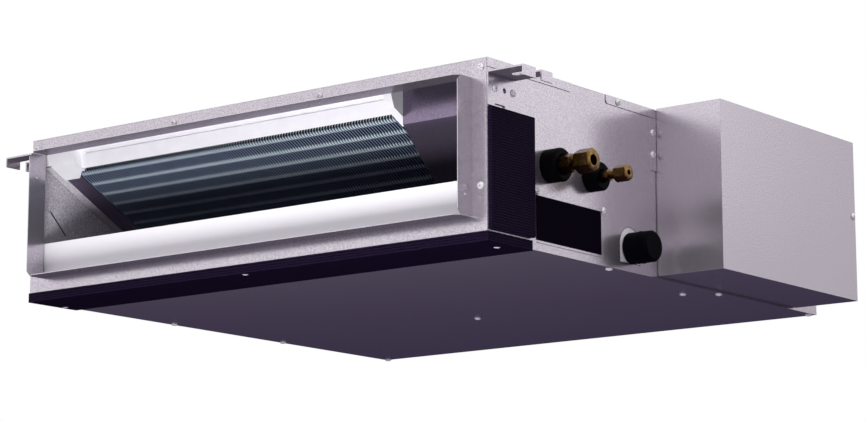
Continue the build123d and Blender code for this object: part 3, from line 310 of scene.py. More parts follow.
finishes["fin_aluminium"] = fin_foil()
collar_finish = collar_foil()
print("coil:", finishes["fin_aluminium"].name, "and", collar_finish.name)


# %% [markdown]
# ## White bead foam
# The white parts in the mouth are expanded polystyrene, moulded from beads a few millimetres wide.
# They look matt and white, with a faint net of lines where the beads meet, which a Voronoi pattern
# of that size gives. The drain pan is the same foam, and inside its trough it is painted near black
# as shade. This painted shade follows a mark on those faces, as it ends at the pan's rim.

# %% Polystyrene foam
BEAD_MM = 3.5


def bead_relief(material, place):
    """Normal with faint seams between beads, from each point's distance to the edge of its Voronoi cell."""
    cells = {"feature": "DISTANCE_TO_EDGE", "Scale": per_metre(BEAD_MM)}
    beads = add_node(material, "ShaderNodeTexVoronoi", cells, {"Vector": place}).outputs["Distance"]
    relief = add_node(material, "ShaderNodeBump", {"Distance": 0.15 * MM, "Strength": 0.1}, {"Height": beads})
    return relief.outputs["Normal"]


def bead_foam():
    """Expanded polystyrene, matt white, with broad and very faint clouds."""
    material, place = new_material("moulded_polystyrene_bead_foam", Roughness=0.75, Specular_IOR_Level=0.25)
    colour, _ = mottled(material, place, "F4F3F6", "FAFAFC", size_mm=25.0)
    feed(material, Base_Color=colour, Normal=bead_relief(material, place))
    return material


def bead_foam_with_painted_shade():
    """The pan's bead foam: white outside, and painted near black as shade on the trough's marked faces."""
    material, place = new_material("moulded_bead_foam_with_painted_shade_in_pan", Roughness=0.7, Specular_IOR_Level=0.2)
    painted_trough_shade = add_node(material, "ShaderNodeAttribute", {"attribute_name": "painted_trough_shade"}).outputs["Fac"]
    # Painted shade: the trough's faces are drawn near black, as the cavity under the coil lies in shade
    colours = {"data_type": "RGBA", "A": linear("F8F7FA"), "B": linear("1A1722")}
    skin = add_node(material, "ShaderNodeMix", colours, {"Factor": painted_trough_shade})
    feed(material, Base_Color=skin.outputs["Result"], Normal=bead_relief(material, place))
    return material


finishes["white_foam"] = bead_foam()
pan_finish = bead_foam_with_painted_shade()
print("white foam:", finishes["white_foam"].name, "and", pan_finish.name)


# %% [markdown]
# ## Black foam
# The strip under the outlet and the pad on the corner are soft closed-cell foam. It is cut from a
# block with a wire, which leaves fine ribs, and its open pores swallow light, so it looks almost
# black and has no gloss. A noise could give the pores alone, but the ribs are what tells cut foam
# from rubber. Real pores are some tenths of a millimetre wide and are drawn at 1.2 mm, and the
# ribs are drawn 3 mm apart, as finer ones would not show.

# %% Cut foam
PORE_MM = 1.2
RIB_MM = 3.0
RIB_SHARE = 0.4


def cell_foam():
    """Level ribs, a little bent, over fine pores: RIB_SHARE x wave + noise, as the colour and the relief."""
    material, place = new_material("cut_closed_cell_foam", Roughness=0.9, Specular_IOR_Level=0.05)
    grains = {"Scale": per_metre(PORE_MM), "Detail": 4.0}
    pores = add_node(material, "ShaderNodeTexNoise", grains, {"Vector": place}).outputs["Fac"]
    bands = {"bands_direction": "Z", "Scale": bands_at(RIB_MM), "Distortion": 2.0, "Detail": 2.0}
    ribs = add_node(material, "ShaderNodeTexWave", bands, {"Vector": place}).outputs["Fac"]
    total = {"operation": "MULTIPLY_ADD", 1: RIB_SHARE}
    both = add_node(material, "ShaderNodeMath", total, {0: ribs, 2: pores}).outputs["Value"]
    stops = ((0.45, "0B0516"), (0.95, "231A2F"))
    colour = add_node(material, "ShaderNodeValToRGB", {"stops": stops}, {"Fac": both}).outputs["Color"]
    relief = add_node(material, "ShaderNodeBump", {"Distance": 0.2 * MM, "Strength": 0.5}, {"Height": both})
    feed(material, Base_Color=colour, Normal=relief.outputs["Normal"])
    return material


finishes["black_foam"] = cell_foam()
print("black foam:", finishes["black_foam"].name)


# %% [markdown]
# ## Rubber, plastics and board
# The rest is mostly moulded: rubber collars and cap, a black cover plate, a white stub, and a grey
# fan with its frames. A mould leaves a fine even grain of some tenths of a millimetre, which is
# drawn at 0.8 to 2 mm so that it shows. The pressed green board in the box and the drawn black
# thread of the nets have one too. Six recipes would only repeat each other, so a single one serves
# them all, and they differ in colour, gloss and grain.

# %% Mouldings
GLOSS_SWING = 0.06


def plain_moulding(name, low, high, roughness, grain_mm=1.5, depth_mm=0.02, gloss=0.35):
    """Moulded plastic or rubber: nearly one colour, with the fine spark-eroded grain of its mould."""
    material, place = new_material(name, Specular_IOR_Level=gloss)
    colour, grain = mottled(material, place, low, high, grain_mm, detail=3.0)
    swing = {"To Min": roughness - GLOSS_SWING, "To Max": roughness + GLOSS_SWING}
    sheen = add_node(material, "ShaderNodeMapRange", swing, {"Value": grain}).outputs["Result"]
    depth = {"Distance": depth_mm * MM, "Strength": 0.4}
    relief = add_node(material, "ShaderNodeBump", depth, {"Height": grain}).outputs["Normal"]
    feed(material, Base_Color=colour, Roughness=sheen, Normal=relief)
    return material


finishes["black_plastic"] = plain_moulding(
    "moulded_black_polypropylene", "07020E", "0F0718", roughness=0.75, gloss=0.02
)
finishes["white_plastic"] = plain_moulding("moulded_white_abs", "E6E4E8", "F6F5F8", roughness=0.35)
finishes["grey_plastic"] = plain_moulding("moulded_grey_abs", "6F7076", "85868C", roughness=0.45)
finishes["rubber"] = plain_moulding(
    "vulcanised_black_rubber", "020103", "060508", roughness=0.5, grain_mm=0.8, depth_mm=0.03, gloss=0.03
)
finishes["board"] = plain_moulding("glass_epoxy_board", "1C5A35", "26683F", roughness=0.3, grain_mm=2.0)
finishes["net"] = plain_moulding("woven_polypropylene_thread", "15161A", "24262B", roughness=0.5)
print("finishes by slot:", sorted(finishes))


# %% [markdown]
# ## Which piece gets which finish
# Each node's material slot names its finish. Six pieces look unlike the rest of their slot in the
# photograph. They could have slots of their own, but slots are part of the frame's record, so the
# six are listed here by name.

# %% Finishes of single pieces
OWN_FINISHES = {
    "left_air_guide": lining_finish,
    "coil_support": lining_finish,
    # Painted shade on the cover and on the coil's end plates
    "pipe_cover": painted_shade_sheet_finish,
    "coil_end_plate_left": painted_shade_sheet_finish,
    "coil_end_plate_right": painted_shade_sheet_finish,
    # Painted shade in the pan's trough
    "drain_pan": pan_finish,
}
print(len(OWN_FINISHES), "pieces have a finish of their own")


# %% [markdown]
# ## Folded edges
# A sheet bent in a press has a rounded corner of about its own thickness, and that thin bright
# line is what makes sheet metal look real. The solids could be rounded in CAD, which would make
# them heavy. Here each rigid solid is copied, its loose triangles are merged into whole faces, and
# a bevel rounds its sharp edges. The copy stands for its node.

# %% A merged copy of a node's mesh
MERGE_DISTANCE = 0.002 * MM
FLAT_ANGLE = math.radians(0.6)
SHARP_ANGLE = math.radians(32)


def merged_mesh(node, name):
    """The node's triangles with doubled points merged and flat neighbours dissolved into whole faces."""
    work = bmesh.new()
    work.from_mesh(nodes[node].data)
    bmesh.ops.remove_doubles(work, verts=work.verts, dist=MERGE_DISTANCE)
    bmesh.ops.dissolve_limit(work, angle_limit=FLAT_ANGLE, verts=work.verts, edges=work.edges)
    mesh = bpy.data.meshes.new(name)
    work.to_mesh(mesh)
    work.free()
    return mesh


def smoothed(mesh):
    """Smooth shading that breaks at sharp edges, without the normals that were stored with the solid."""
    old = mesh.attributes.get("custom_normal")
    if old:
        mesh.attributes.remove(old)
    mesh.shade_smooth()
    mesh.set_sharp_from_angle(angle=SHARP_ANGLE)


print("an edge is sharp from", round(math.degrees(SHARP_ANGLE)), "degrees")


# %% A dressed copy that stands for its node
def show(mesh, name, node, finish=None):
    """Puts a mesh in the scene with the body of a CAD node and the finish of its slot, or with a finish of
    its own.
    """
    piece = bpy.data.objects.new(name, mesh)
    bpy.context.scene.collection.objects.link(piece)
    mesh.materials.clear()
    mesh.materials.append(finish or OWN_FINISHES.get(node) or finishes[slot_of[node]])
    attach(piece, body_of[node])
    return piece


def dressed(node, edge_mm, segments=2):
    """A merged copy of a node that replaces it; its sharp edges are rounded to edge_mm, unless that is 0."""
    name = node + "_finish"
    mesh = merged_mesh(node, name)
    smoothed(mesh)
    piece = show(mesh, name, node)
    if edge_mm:
        bevel = piece.modifiers.new("rounded_edges", "BEVEL")
        bevel.width = edge_mm * MM
        bevel.segments = segments
        bevel.limit_method = "ANGLE"
        bevel.angle_limit = SHARP_ANGLE
        bevel.use_clamp_overlap = True
        bevel.harden_normals = True
    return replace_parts(piece, node)


print("slots:", sorted(set(slot_of.values())))


# %% Edge radius of each piece, in millimetres
EDGE_RADII = {
    "top_panel": 0.5,
    "bottom_panel": 0.4,
    "left_side_panel": 0.45,
    "right_side_panel": 0.4,
    "outlet_panel": 0.35,
    "inlet_panel": 0.35,
    "control_box_cover": 1.0,
    "control_box_base": 0.35,
    "pipe_cover": 0.4,
    "left_air_guide": 0.4,
    "coil_support": 0.4,
    "partition_plate": 0.3,
    "window_cover": 0.5,
    "drain_pan": 1.0,
    "top_insulation": 0.3,
    "top_insulation_ends": 0.6,
    "drain_socket": 0.5,
    "drain_cap": 0.7,
    "gas_pipe_collar": 0.8,
    "liquid_pipe_collar": 0.8,
    "gas_union": 0.3,
    "liquid_union": 0.3,
    "gas_flare_nut": 0.35,
    "liquid_flare_nut": 0.3,
    "motor_body": 0.6,
    "motor_rings": 0.6,
    "motor_bracket": 0.4,
    "motor_straps": 0.3,
    "circuit_board": 0.2,
    "terminal_block": 0.4,
}
for end in ("front", "rear"):
    for side in ("left", "right"):
        EDGE_RADII[f"hanger_{end}_{side}"] = 0.6
for side in ("left", "right"):
    EDGE_RADII[f"coil_end_plate_{side}"] = 0.3
    EDGE_RADII[f"filter_frame_{side}"] = 0.8
    for half in ("upper", "lower"):
        EDGE_RADII[f"fan_casing_{half}_{side}"] = 0.4
print(len(EDGE_RADII), "pieces get rounded edges")


# %% All copies
# Round tubes and thin fan blades are only smoothed, as a bevel would add faces that nobody sees
SMOOTH_ONLY = (
    "coil_tubes", "return_bends", "gas_header", "liquid_header", "gas_pipe", "liquid_pipe",
    "motor_shaft", "fan_wheel_left", "fan_wheel_right",
)
for node, radius in EDGE_RADII.items():
    dressed(node, radius)
for node in SMOOTH_ONLY:
    dressed(node, 0)
print("dressed", len(EDGE_RADII) + len(SMOOTH_ONLY), "nodes")


# %% [markdown]
# ## Marks for the painted shade in the pan and the rib
# The pan's painted shade ends at its rim, and the rib's painted grey shade ends at its flanks, in the
# middle of a piece. Each could be a piece of its own with a second material. A mark on the faces
# keeps one piece and one material, whose shader mixes two colours by it. A test of a face's centre
# and normal says which faces count.

# %% Marks on faces, and the pan's painted shade
def mark_faces(node, mark, chosen):
    """Gives the faces of a node's finish a mark of 1 where a test of the face says so, else 0."""
    mesh = bpy.data.objects[node + "_finish"].data
    marks = mesh.attributes.new(mark, "FLOAT", "FACE")
    for face, value in zip(mesh.polygons, marks.data):
        value.value = float(chosen(face))
    print(node, "has", sum(int(value.value) for value in marks.data), "faces marked", mark)


TROUGH_WALL = 9 * MM
# Least part of a face's unit normal that points up, or to the front or rear
LOOKS_UP = 0.05
LOOKS_ACROSS = 0.5
pan_low, pan_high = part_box("drain_pan")


def in_trough(face):
    """Tells whether a face is inside the pan's walls, and its normal looks up or across as in the trough."""
    across = pan_low[1] + TROUGH_WALL < face.center.y < pan_high[1] - TROUGH_WALL
    above = face.center.z > pan_low[2] + TROUGH_WALL
    return across and above and (face.normal.z > LOOKS_UP or abs(face.normal.y) > LOOKS_ACROSS)


# The trough's faces get the mark for the pan's painted shade
mark_faces("drain_pan", "painted_trough_shade", in_trough)


# %% The lining's rib
# A window round the rib, measured from the sheet's front edge and from its top
RIB_FRONT, RIB_REAR = 15 * MM, 55 * MM
RIB_TOP, RIB_BOTTOM = 81 * MM, 114 * MM
GAP_TO_BACK = 1 * MM
GAP_TO_FACE = 0.3 * MM
guide_low, guide_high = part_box("left_air_guide")


def in_rib_groove(face):
    """Tells whether a face is the rib's floor or a flank: in its window, and between the sheet's skins."""
    behind_front = face.center.y - guide_low[1]
    below_top = guide_high[2] - face.center.z
    in_sheet = guide_low[0] + GAP_TO_BACK < face.center.x < guide_high[0] - GAP_TO_FACE
    in_window = RIB_FRONT < behind_front < RIB_REAR and RIB_TOP < below_top < RIB_BOTTOM
    return in_sheet and in_window


# The rib's faces get the mark for their painted shade
mark_faces("left_air_guide", "painted_rib_shade", in_rib_groove)


# %% [markdown]
# ## The fins of the coil
# A coil is a stack of thin pressed foils with tubes pushed through their collars. From below, only
# the first few millimetres between two fins catch the light, so the collars of the nearest tubes
# show as pale bars across the dark slots. The photograph's lines could be painted on the solid
# slab, but they would stay flat from every other side. So the fins are real plates that run down
# the slope, and the collars are round sleeves along the coil. Both follow the frame's leaning slab.
# Real foils are a tenth of a millimetre thick and stand closer. Here they are 0.95 mm thick and
# 4.2 mm apart, which is the spacing of the lines that the photograph shows.

# %% The leaning slab
COIL_LEAN = math.radians(27)
COIL_DEPTH = 27 * MM
TUBE_PITCH = 21 * MM
TUBE_ROWS = 12
COIL_LENGTH = TUBE_ROWS * TUBE_PITCH

coil_low, coil_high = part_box("coil_fins")
corner_y = coil_low[1]
corner_z = coil_high[2] - COIL_DEPTH * math.cos(COIL_LEAN)


def coil_place(x, s, n):
    """Point at x, s down the slope and n up through it: y, z = corner + s (cos, -sin) + n (sin, cos)."""
    y = corner_y + s * math.cos(COIL_LEAN) + n * math.sin(COIL_LEAN)
    z = corner_z - s * math.sin(COIL_LEAN) + n * math.cos(COIL_LEAN)
    return np.stack(np.broadcast_arrays(x, y, z), axis=-1)


print("slope of", round(COIL_LENGTH / MM), "mm with", TUBE_ROWS, "rows of tubes")


# %% Meshes of like copies
def ring_faces(rings, sides):
    """Quads between rings of points: point j of ring i, its neighbour, and the same two of ring i + 1."""
    start = np.arange(rings - 1)[:, None] * sides
    j = np.arange(sides)[None, :]
    following = (j + 1) % sides
    corners = (start + j, start + following, start + sides + following, start + sides + j)
    return np.stack(np.broadcast_arrays(*corners), axis=-1).reshape(-1, 4)


def copies_mesh(name, points, *face_sets):
    """A mesh of like shapes, one per row of points; copy k has the first one's faces, k x step points on."""
    step = points[0].size // 3
    offsets = (np.arange(len(points)) * step)[:, None, None]
    faces = [face for group in face_sets for copy in group[None] + offsets for face in copy.tolist()]
    mesh = bpy.data.meshes.new(name)
    mesh.from_pydata(points.reshape(-1, 3).tolist(), [], faces)
    work = bmesh.new()
    work.from_mesh(mesh)
    bmesh.ops.recalc_face_normals(work, faces=work.faces)
    work.to_mesh(mesh)
    work.free()
    smoothed(mesh)
    return mesh


print("a tube of two rings of four points has", len(ring_faces(2, 4)), "faces")


# %% Fins
FIN_PITCH = 4.2 * MM
FIN_THICKNESS = 0.95 * MM
FIN_INSET = 0.02 * MM


def fin_stack():
    """Fin i: x = start + pitch i +- half a thickness, over all s and n, with points where its edge ends."""
    count = int((coil_high[0] - coil_low[0]) / FIN_PITCH)
    start = (coil_low[0] + coil_high[0] - (count - 1) * FIN_PITCH) / 2
    deep = COIL_DEPTH - 2 * FIN_INSET
    levels = np.array([0, EDGE_SHOWN_MM * MM, deep, deep, EDGE_SHOWN_MM * MM, 0])
    half = np.array([-1, -1, -1, 1, 1, 1]) * FIN_THICKNESS / 2
    x = start + np.arange(count)[:, None, None] * FIN_PITCH + half
    s = np.array([FIN_INSET, COIL_LENGTH - FIN_INSET])[None, :, None]
    n = FIN_INSET + levels[None, None, :]
    points = coil_place(x, s, n)
    around = np.arange(len(levels))
    caps = np.array([around, 2 * len(levels) - 1 - around])
    mesh = copies_mesh("coil_fin_stack", points, ring_faces(2, len(levels)), caps)
    depth = np.broadcast_to(n / MM, points.shape[:3]).astype(np.float32)
    mesh.attributes.new("depth_mm", "FLOAT", "POINT").data.foreach_set("value", depth.ravel())
    print(count, "fins")
    return mesh


fins = show(fin_stack(), "coil_fin_stack", "coil_fins")
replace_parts(fins, "coil_fins")


# %% Collars round the nearest tubes
COLLAR_RADIUS = 5.8 * MM
COLLAR_SIDES = 20
PITCHES_TO_FIRST_TUBE = 0.35
NEAR_ROW_DEPTH = COIL_DEPTH / 4


def collar_sleeves():
    """One round sleeve along X for each tube of the near row: s, n = its centre + radius (cos t, sin t)."""
    centres = (np.arange(TUBE_ROWS) + PITCHES_TO_FIRST_TUBE)[:, None, None] * TUBE_PITCH
    turn = np.linspace(0, 2 * np.pi, COLLAR_SIDES, endpoint=False)[None, None, :]
    x = np.array([coil_low[0] + FIN_PITCH / 2, coil_high[0] - FIN_PITCH / 2])[None, :, None]
    s = centres + COLLAR_RADIUS * np.cos(turn)
    n = NEAR_ROW_DEPTH + COLLAR_RADIUS * np.sin(turn)
    around = np.arange(COLLAR_SIDES)
    ends = np.array([around, COLLAR_SIDES + around])
    return copies_mesh("coil_collar_sleeves", coil_place(x, s, n), ring_faces(2, COLLAR_SIDES), ends)


show(collar_sleeves(), "coil_collar_sleeves", "coil_fins", collar_finish)
print(TUBE_ROWS, "collar sleeves")


# %% [markdown]
# ## Screw heads
# Pan-head screws with a cross recess hold the casing. Their places could be typed in again, but
# they are read from the solids, so that a screw that moves there moves here: each loose cluster of
# triangles is one screw, and its outer end is the head. A head is a dome turned round its axis,
# with the cross sunk where either of two crossed bars covers the point.

# %% Where the screws are
def lowest_labels(count, edges):
    """A label per point, the lowest number in its connected group, passed along the edges until it rests."""
    a, b = edges.reshape(-1, 2).T
    labels = np.arange(count)
    before = None
    while not np.array_equal(before, labels):
        before = labels.copy()
        low = np.minimum(labels[a], labels[b])
        np.minimum.at(labels, a, low)
        np.minimum.at(labels, b, low)
    return labels


def loose_clusters(node):
    """Point arrays of a node's separate solids."""
    mesh = merged_mesh(node, node + "_scan")
    points = np.empty(len(mesh.vertices) * 3)
    mesh.vertices.foreach_get("co", points)
    edges = np.empty(len(mesh.edges) * 2, dtype=np.int32)
    mesh.edges.foreach_get("vertices", edges)
    labels = lowest_labels(len(mesh.vertices), edges)
    bpy.data.meshes.remove(mesh)
    return [points.reshape(-1, 3)[labels == label] for label in np.unique(labels)]


print("side screws found:", len(loose_clusters("side_screws")))


# %% One pan head with a cross recess
HEAD_RADIUS = 4.2 * MM
HEAD_HEIGHT = 2.3 * MM
HEAD_SIDES = 48
# Shares of HEAD_RADIUS, from the rim inwards; the first two rings make the rim's upright wall
RING_RADII = np.array([1.0, 1.0, 0.96, 0.86, 0.72, 0.62, 0.56, 0.48, 0.4, 0.3, 0.2, 0.1])
DOME_DROP = 0.55
DOME_POWER = 4
RECESS_RADIUS = 2.5 * MM
RECESS_BAR = 0.55 * MM
RECESS_DEPTH = 1.5 * MM
# A direction that no screw faces, from which a head's own sideways is worked out
ASKEW = (0.3, 0.5, 0.8)


def head_heights(r, x, y):
    """Flattened dome of 1 - drop (r / R) ** power heights, less the cross where |x| or |y| is in a bar."""
    height = HEAD_HEIGHT * (1 - (r / HEAD_RADIUS) ** DOME_POWER * DOME_DROP) * np.ones_like(x)
    height[0] = 0
    in_bar = (np.minimum(np.abs(x), np.abs(y)) < RECESS_BAR) & (r < RECESS_RADIUS)
    return height - RECESS_DEPTH * in_bar


def head_points(seat, outward, turn):
    """One head: rings of points at radius r and angle t, then the recess's middle and the seat's centre."""
    side = np.cross(outward, ASKEW)
    side /= np.linalg.norm(side)
    up = np.cross(outward, side)
    r = RING_RADII[:, None] * HEAD_RADIUS
    t = np.linspace(0, 2 * np.pi, HEAD_SIDES, endpoint=False)[None, :]
    x, y = r * np.cos(t), r * np.sin(t)
    c, s = math.cos(turn), math.sin(turn)
    flat = (x * c - y * s)[..., None] * side + (x * s + y * c)[..., None] * up
    rings = seat + flat + head_heights(r, x, y)[..., None] * outward
    middle = seat + (HEAD_HEIGHT - RECESS_DEPTH) * outward
    return np.concatenate([rings.reshape(-1, 3), [middle, seat]])


print("a head has", len(RING_RADII) * HEAD_SIDES + 2, "points")


# %% Heads of one group of screws
# Radians from one screw's cross to the next one's, as no two screws stop at the same turn
TURN_STEP = 0.7


def head_faces():
    """Quads between rings, a fan from the last ring to the recess's middle, and one that closes the seat."""
    ring = np.arange(HEAD_SIDES)
    following = (ring + 1) % HEAD_SIDES
    middle = len(RING_RADII) * HEAD_SIDES
    last = middle - HEAD_SIDES
    fan = np.stack([last + ring, last + following, np.full(HEAD_SIDES, middle)], axis=-1)
    bottom = np.stack([following, ring, np.full(HEAD_SIDES, middle + 1)], axis=-1)
    return ring_faces(len(RING_RADII), HEAD_SIDES), fan, bottom


def screw_heads(node, direction_of):
    """All heads of one CAD node as one mesh; direction_of gives the way that a cluster's head faces."""
    heads = []
    for index, cluster in enumerate(loose_clusters(node)):
        outward = np.array(direction_of(cluster), dtype=float)
        centre = (cluster.min(axis=0) + cluster.max(axis=0)) / 2
        top = (cluster @ outward).max()
        seat = centre + (top - HEAD_HEIGHT - centre @ outward) * outward
        heads.append(head_points(seat, outward, TURN_STEP * index))
    name = node + "_heads"
    piece = show(copies_mesh(name, np.stack(heads), *head_faces()), name, node)
    print(node, "has", len(heads), "heads")
    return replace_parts(piece, node)


print("a head has", sum(len(group) for group in head_faces()), "faces")


# %% All screws
LID_TABS_FROM_Y = -0.3


def casing_direction(cluster):
    """Screws in front of the lid's side tabs face -Y; the two on the tabs face sideways."""
    middle = cluster.mean(axis=0)
    return (0, -1, 0) if middle[1] < LID_TABS_FROM_Y else (np.sign(middle[0]), 0, 0)


screw_heads("casing_screws", casing_direction)
screw_heads("side_screws", lambda cluster: (1, 0, 0))
screw_heads("bottom_screws", lambda cluster: (0, 0, -1))
screw_heads("hanger_screws", lambda cluster: (np.sign(cluster[:, 0].mean()), 0, 0))


# %% [markdown]
# ## Soft foam strip and pad
# The strip under the outlet and the pad on its right corner are soft foam, glued flat to the
# sheet. Foam of this kind is cut straight and springs back, so it has no folds that would need a
# simulation, but its edges are never crisp. The copy of each solid gets a wide bevel in four steps.

# %% Foam strip and pad
SOFT_EDGE_MM = 1.6
SOFT_EDGE_STEPS = 4

for node in ("bottom_foam_strip", "side_foam_pad"):
    piece = dressed(node, SOFT_EDGE_MM, SOFT_EDGE_STEPS)
    print(node, "has edges rounded to", SOFT_EDGE_MM, "mm")


# %% [markdown]
# ## Filter nets
# A filter net is a plain weave of thin thread. A see-through pattern on one plane could stand for
# it, but only real threads keep their holes in the meshes themselves. At full fineness they would be
# a grey haze, so they are drawn 3 mm apart. Each is a straight four-sided bar, and the upright and
# the level ones lie on each other.

# %% Threads
NET_PITCH = 3.0 * MM
THREAD = 0.35 * MM
BAR_CAPS = np.array([[0, 1, 2, 3], [7, 6, 5, 4]])


def bars(starts, ends):
    """Square bars from each start to its end, with corners half a thread to the side and half across."""
    along = ends - starts
    along = along / np.linalg.norm(along, axis=1, keepdims=True)
    side = np.cross(along, [0.0, 1.0, 0.0])
    across = np.cross(along, side)
    corners = np.stack([side + across, side - across, -side - across, -side + across], axis=1) * THREAD / 2
    return np.stack([starts[:, None] + corners, ends[:, None] + corners], axis=1)


def filter_net(side):
    """Threads at whole pitches over the net's box, upright ones before its middle and level ones behind."""
    node = f"filter_mesh_{side}"
    low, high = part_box(node)
    middle = (low[1] + high[1]) / 2
    xs = np.arange(low[0] + NET_PITCH / 2, high[0], NET_PITCH)
    zs = np.arange(low[2] + NET_PITCH / 2, high[2], NET_PITCH)
    upright = [np.stack(np.broadcast_arrays(xs, middle - THREAD / 2, z), axis=-1) for z in (low[2], high[2])]
    level = [np.stack(np.broadcast_arrays(x, middle + THREAD / 2, zs), axis=-1) for x in (low[0], high[0])]
    points = np.concatenate([bars(*upright), bars(*level)])
    name = f"filter_net_{side}"
    piece = show(copies_mesh(name, points, ring_faces(2, 4), BAR_CAPS), name, node)
    print(f"net {side}: {len(xs)} by {len(zs)} threads")
    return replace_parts(piece, node)


for side in ("left", "right"):
    filter_net(side)


# %% [markdown]
# ## The world
# The photograph looks up at the unit from below its front right corner, against pure white. A
# white world alone would light the underside as brightly as the top, which the photograph doesn't
# show. So rays that see the background get plain white, and the light that falls on the unit is
# that of a bright room above the horizon and a dim, purplish one below it.

# %% Rays that see the background
def background_switch(owner):
    """1 for rays that show the background, from the camera, off metal or through glass; 0 for the rest."""
    path = add_node(owner, "ShaderNodeLightPath").outputs
    largest = {"operation": "MAXIMUM"}
    seen = add_node(owner, "ShaderNodeMath", largest, {0: path["Is Camera Ray"], 1: path["Is Glossy Ray"]})
    either = {0: seen.outputs["Value"], 1: path["Is Transmission Ray"]}
    return add_node(owner, "ShaderNodeMath", largest, either).outputs["Value"]


world = bpy.data.worlds.new("studio")
bpy.context.scene.world = world
world.use_nodes = True
background = world.node_tree.nodes["Background"]
background_seen = background_switch(world)
print("world:", world.name)


# %% Light of the room
ROOM_ABOVE = 0.88
ROOM_BELOW = 0.14
# Upward parts of a ray's direction, between which the light goes from that below to that above
HORIZON = {"From Min": -0.2, "From Max": 0.12}

heading = add_node(world, "ShaderNodeTexCoord").outputs["Generated"]
climb = add_node(world, "ShaderNodeSeparateXYZ", links={"Vector": heading}).outputs["Z"]
room_range = HORIZON | {"interpolation_type": "SMOOTHSTEP", "To Min": ROOM_BELOW, "To Max": ROOM_ABOVE}
room = add_node(world, "ShaderNodeMapRange", room_range, {"Value": climb}).outputs["Result"]
white = {"data_type": "FLOAT", "B": 1.0}
strength = add_node(world, "ShaderNodeMix", white, {"Factor": background_seen, "A": room})
world.node_tree.links.new(strength.outputs["Result"], background.inputs["Strength"])
print("room light from", ROOM_BELOW, "below to", ROOM_ABOVE, "above")


# %% Tint of the room
above = add_node(world, "ShaderNodeMapRange", HORIZON, {"Value": climb}).outputs["Result"]
tints = {"data_type": "RGBA", "A": linear("A790C6"), "B": linear("FCFAFD")}
room_tint = add_node(world, "ShaderNodeMix", tints, {"Factor": above}).outputs["Result"]
white_tint = {"data_type": "RGBA", "B": linear("FFFFFF")}
tint = add_node(world, "ShaderNodeMix", white_tint, {"Factor": background_seen, "A": room_tint})
world.node_tree.links.new(tint.outputs["Result"], background.inputs["Color"])
print("world nodes:", len(world.node_tree.nodes))


# %% [markdown]
# ## Floor and backdrop cloth
# The floor is far below, as the unit hangs under a ceiling. It is as pale as the background. A
# dusky cloth with a raised rim, which the camera doesn't see, lies just under it, and the sheets
# mirror it, so the underside falls into shade. Darkening the sheet's own colour would do that too,
# but would darken it from every other side as well.

# %% Pale floor
def stage_piece(name, points, faces, finish):
    """A piece of the studio, which isn't part of the object."""
    mesh = bpy.data.meshes.new(name)
    mesh.from_pydata(points, [], faces)
    mesh.materials.append(finish)
    piece = bpy.data.objects.new(name, mesh)
    bpy.context.scene.collection.objects.link(piece)
    return piece


def square(reach, level):
    """Four corners of a level square round the origin."""
    return [(reach * x, reach * y, level) for x, y in ((-1, -1), (1, -1), (1, 1), (-1, 1))]


FLOOR_DROP = 1.6
FLOOR_REACH = 20

# Matt pale paint, so that the floor looks like the background
pale_paint, _ = new_material(
    "pale_studio_floor", Roughness=0.9, Specular_IOR_Level=0.1, Base_Color=linear("F4F3F5")
)
floor_level = cad_box[0][2] - FLOOR_DROP
floor = stage_piece("floor", square(FLOOR_REACH, floor_level), [(0, 1, 2, 3)], pale_paint)
# The floor is there for the camera, as the unit's light and reflections come from cloth and room
floor.visible_diffuse = False
floor.visible_glossy = False
print("floor at", round(floor_level, 3))


# %% Dusky cloth
CLOTH_DROP = 0.02
CLOTH_TOP = 1.6


def dusky_cloth(low, high):
    """Matt cloth, dark purple where it lies and paler up its raised rim: a mix by height from low to high."""
    material, place = new_material("dusky_backdrop_cloth", Roughness=0.9, Specular_IOR_Level=0.1)
    level = add_node(material, "ShaderNodeSeparateXYZ", links={"Vector": place}).outputs["Z"]
    height = add_node(material, "ShaderNodeMapRange", {"From Min": low, "From Max": high}, {"Value": level})
    colours = {"data_type": "RGBA", "A": linear("5E4E77"), "B": linear("F4F3F5")}
    colour = add_node(material, "ShaderNodeMix", colours, {"Factor": height.outputs["Result"]})
    feed(material, Base_Color=colour.outputs["Result"])
    return material


cloth_level = floor_level - CLOTH_DROP
corners = square(FLOOR_REACH, cloth_level) + square(FLOOR_REACH, CLOTH_TOP)
rim = [(i, (i + 1) % 4, 4 + (i + 1) % 4, 4 + i) for i in range(4)]
cloth = stage_piece("dusky_cloth", corners, [(0, 1, 2, 3)] + rim, dusky_cloth(cloth_level, CLOTH_TOP))
cloth.visible_camera = False
print("cloth from", round(cloth_level, 3), "up to", CLOTH_TOP)


# %% [markdown]
# ## Lamps
# The world alone gives soft light without a direction. Two large soft lamps add one, as windows
# would. A small third lamp fills the white mouth from below, and no sheet mirrors it. Small hard
# lamps would give sharp shadows, which the photograph doesn't have.

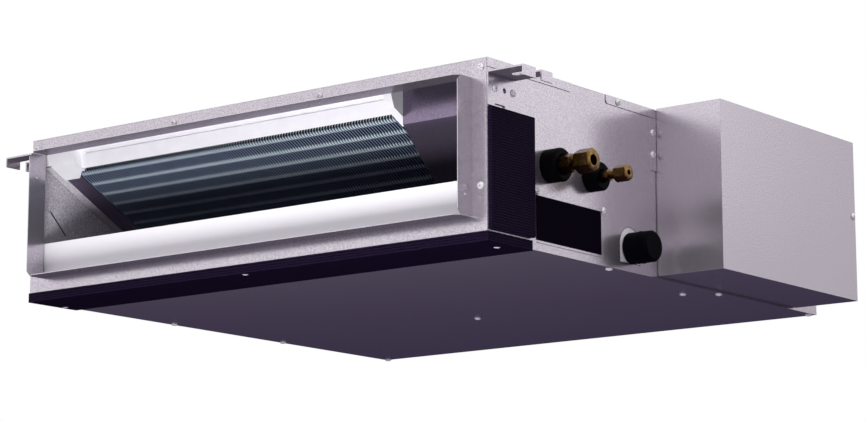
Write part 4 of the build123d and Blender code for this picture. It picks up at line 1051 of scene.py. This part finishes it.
# %% Soft lamps
def soft_lamp(name, place, target, size, power):
    """A square area lamp, size in metres and power in watts, that points at a target and stays unseen."""
    data = bpy.data.lights.new(name, "AREA")
    data.shape = "SQUARE"
    data.size = size
    data.energy = power
    lamp = bpy.data.objects.new(name, data)
    bpy.context.scene.collection.objects.link(lamp)
    lamp.location = place
    lamp.rotation_euler = (Vector(target) - Vector(place)).to_track_quat("-Z", "Y").to_euler()
    lamp.visible_camera = False
    print("lamp", name, "of", power, "W")
    return lamp


soft_lamp("right_rear", place=(2.3, 1.5, 1.3), target=(0.35, 0, -0.1), size=2.0, power=7)
soft_lamp("front_left", place=(-2.2, -3.0, 0.9), target=(0, -0.3, -0.1), size=2.0, power=4)
mouth_fill = soft_lamp(
    "mouth_fill", place=(0.45, -1.3, -1.0), target=(-0.1, -0.33, -0.05), size=0.6, power=21
)
mouth_fill.visible_glossy = False


# %% [markdown]
# ## Camera
# The camera's place, its angles and its lens were solved from corners of the casing in the
# photograph, which is surer than turning it by eye. Its three axes follow from the angles: first a
# level pair, right and up, for the heading and the climb, and then that pair rolled a little.

# %% Camera
CAMERA_PLACE = (2.0576, -2.6482, -0.6951)
AZIMUTH, ELEVATION, ROLL = (math.radians(angle) for angle in (37.784, -10.728, -0.085))
LENS_MM = 112.87
SENSOR_MM = 36
FAR_CLIP = 50

forward = np.array(
    [-math.sin(AZIMUTH) * math.cos(ELEVATION), math.cos(AZIMUTH) * math.cos(ELEVATION), -math.sin(ELEVATION)]
)
level_right = np.array([math.cos(AZIMUTH), math.sin(AZIMUTH), 0])
level_up = np.cross(level_right, forward)
right = math.cos(ROLL) * level_right + math.sin(ROLL) * level_up
up = math.cos(ROLL) * level_up - math.sin(ROLL) * level_right
pose = np.eye(4)
pose[:3] = np.column_stack([right, up, -forward, CAMERA_PLACE])

camera = bpy.data.objects.new("camera", bpy.data.cameras.new("camera"))
bpy.context.scene.collection.objects.link(camera)
camera.data.lens = LENS_MM
camera.data.sensor_width = SENSOR_MM
camera.data.clip_end = FAR_CLIP
camera.matrix_world = Matrix(pose.tolist())
bpy.context.scene.camera = camera
bpy.context.scene.view_settings.view_transform = "Standard"
print("camera at", CAMERA_PLACE)
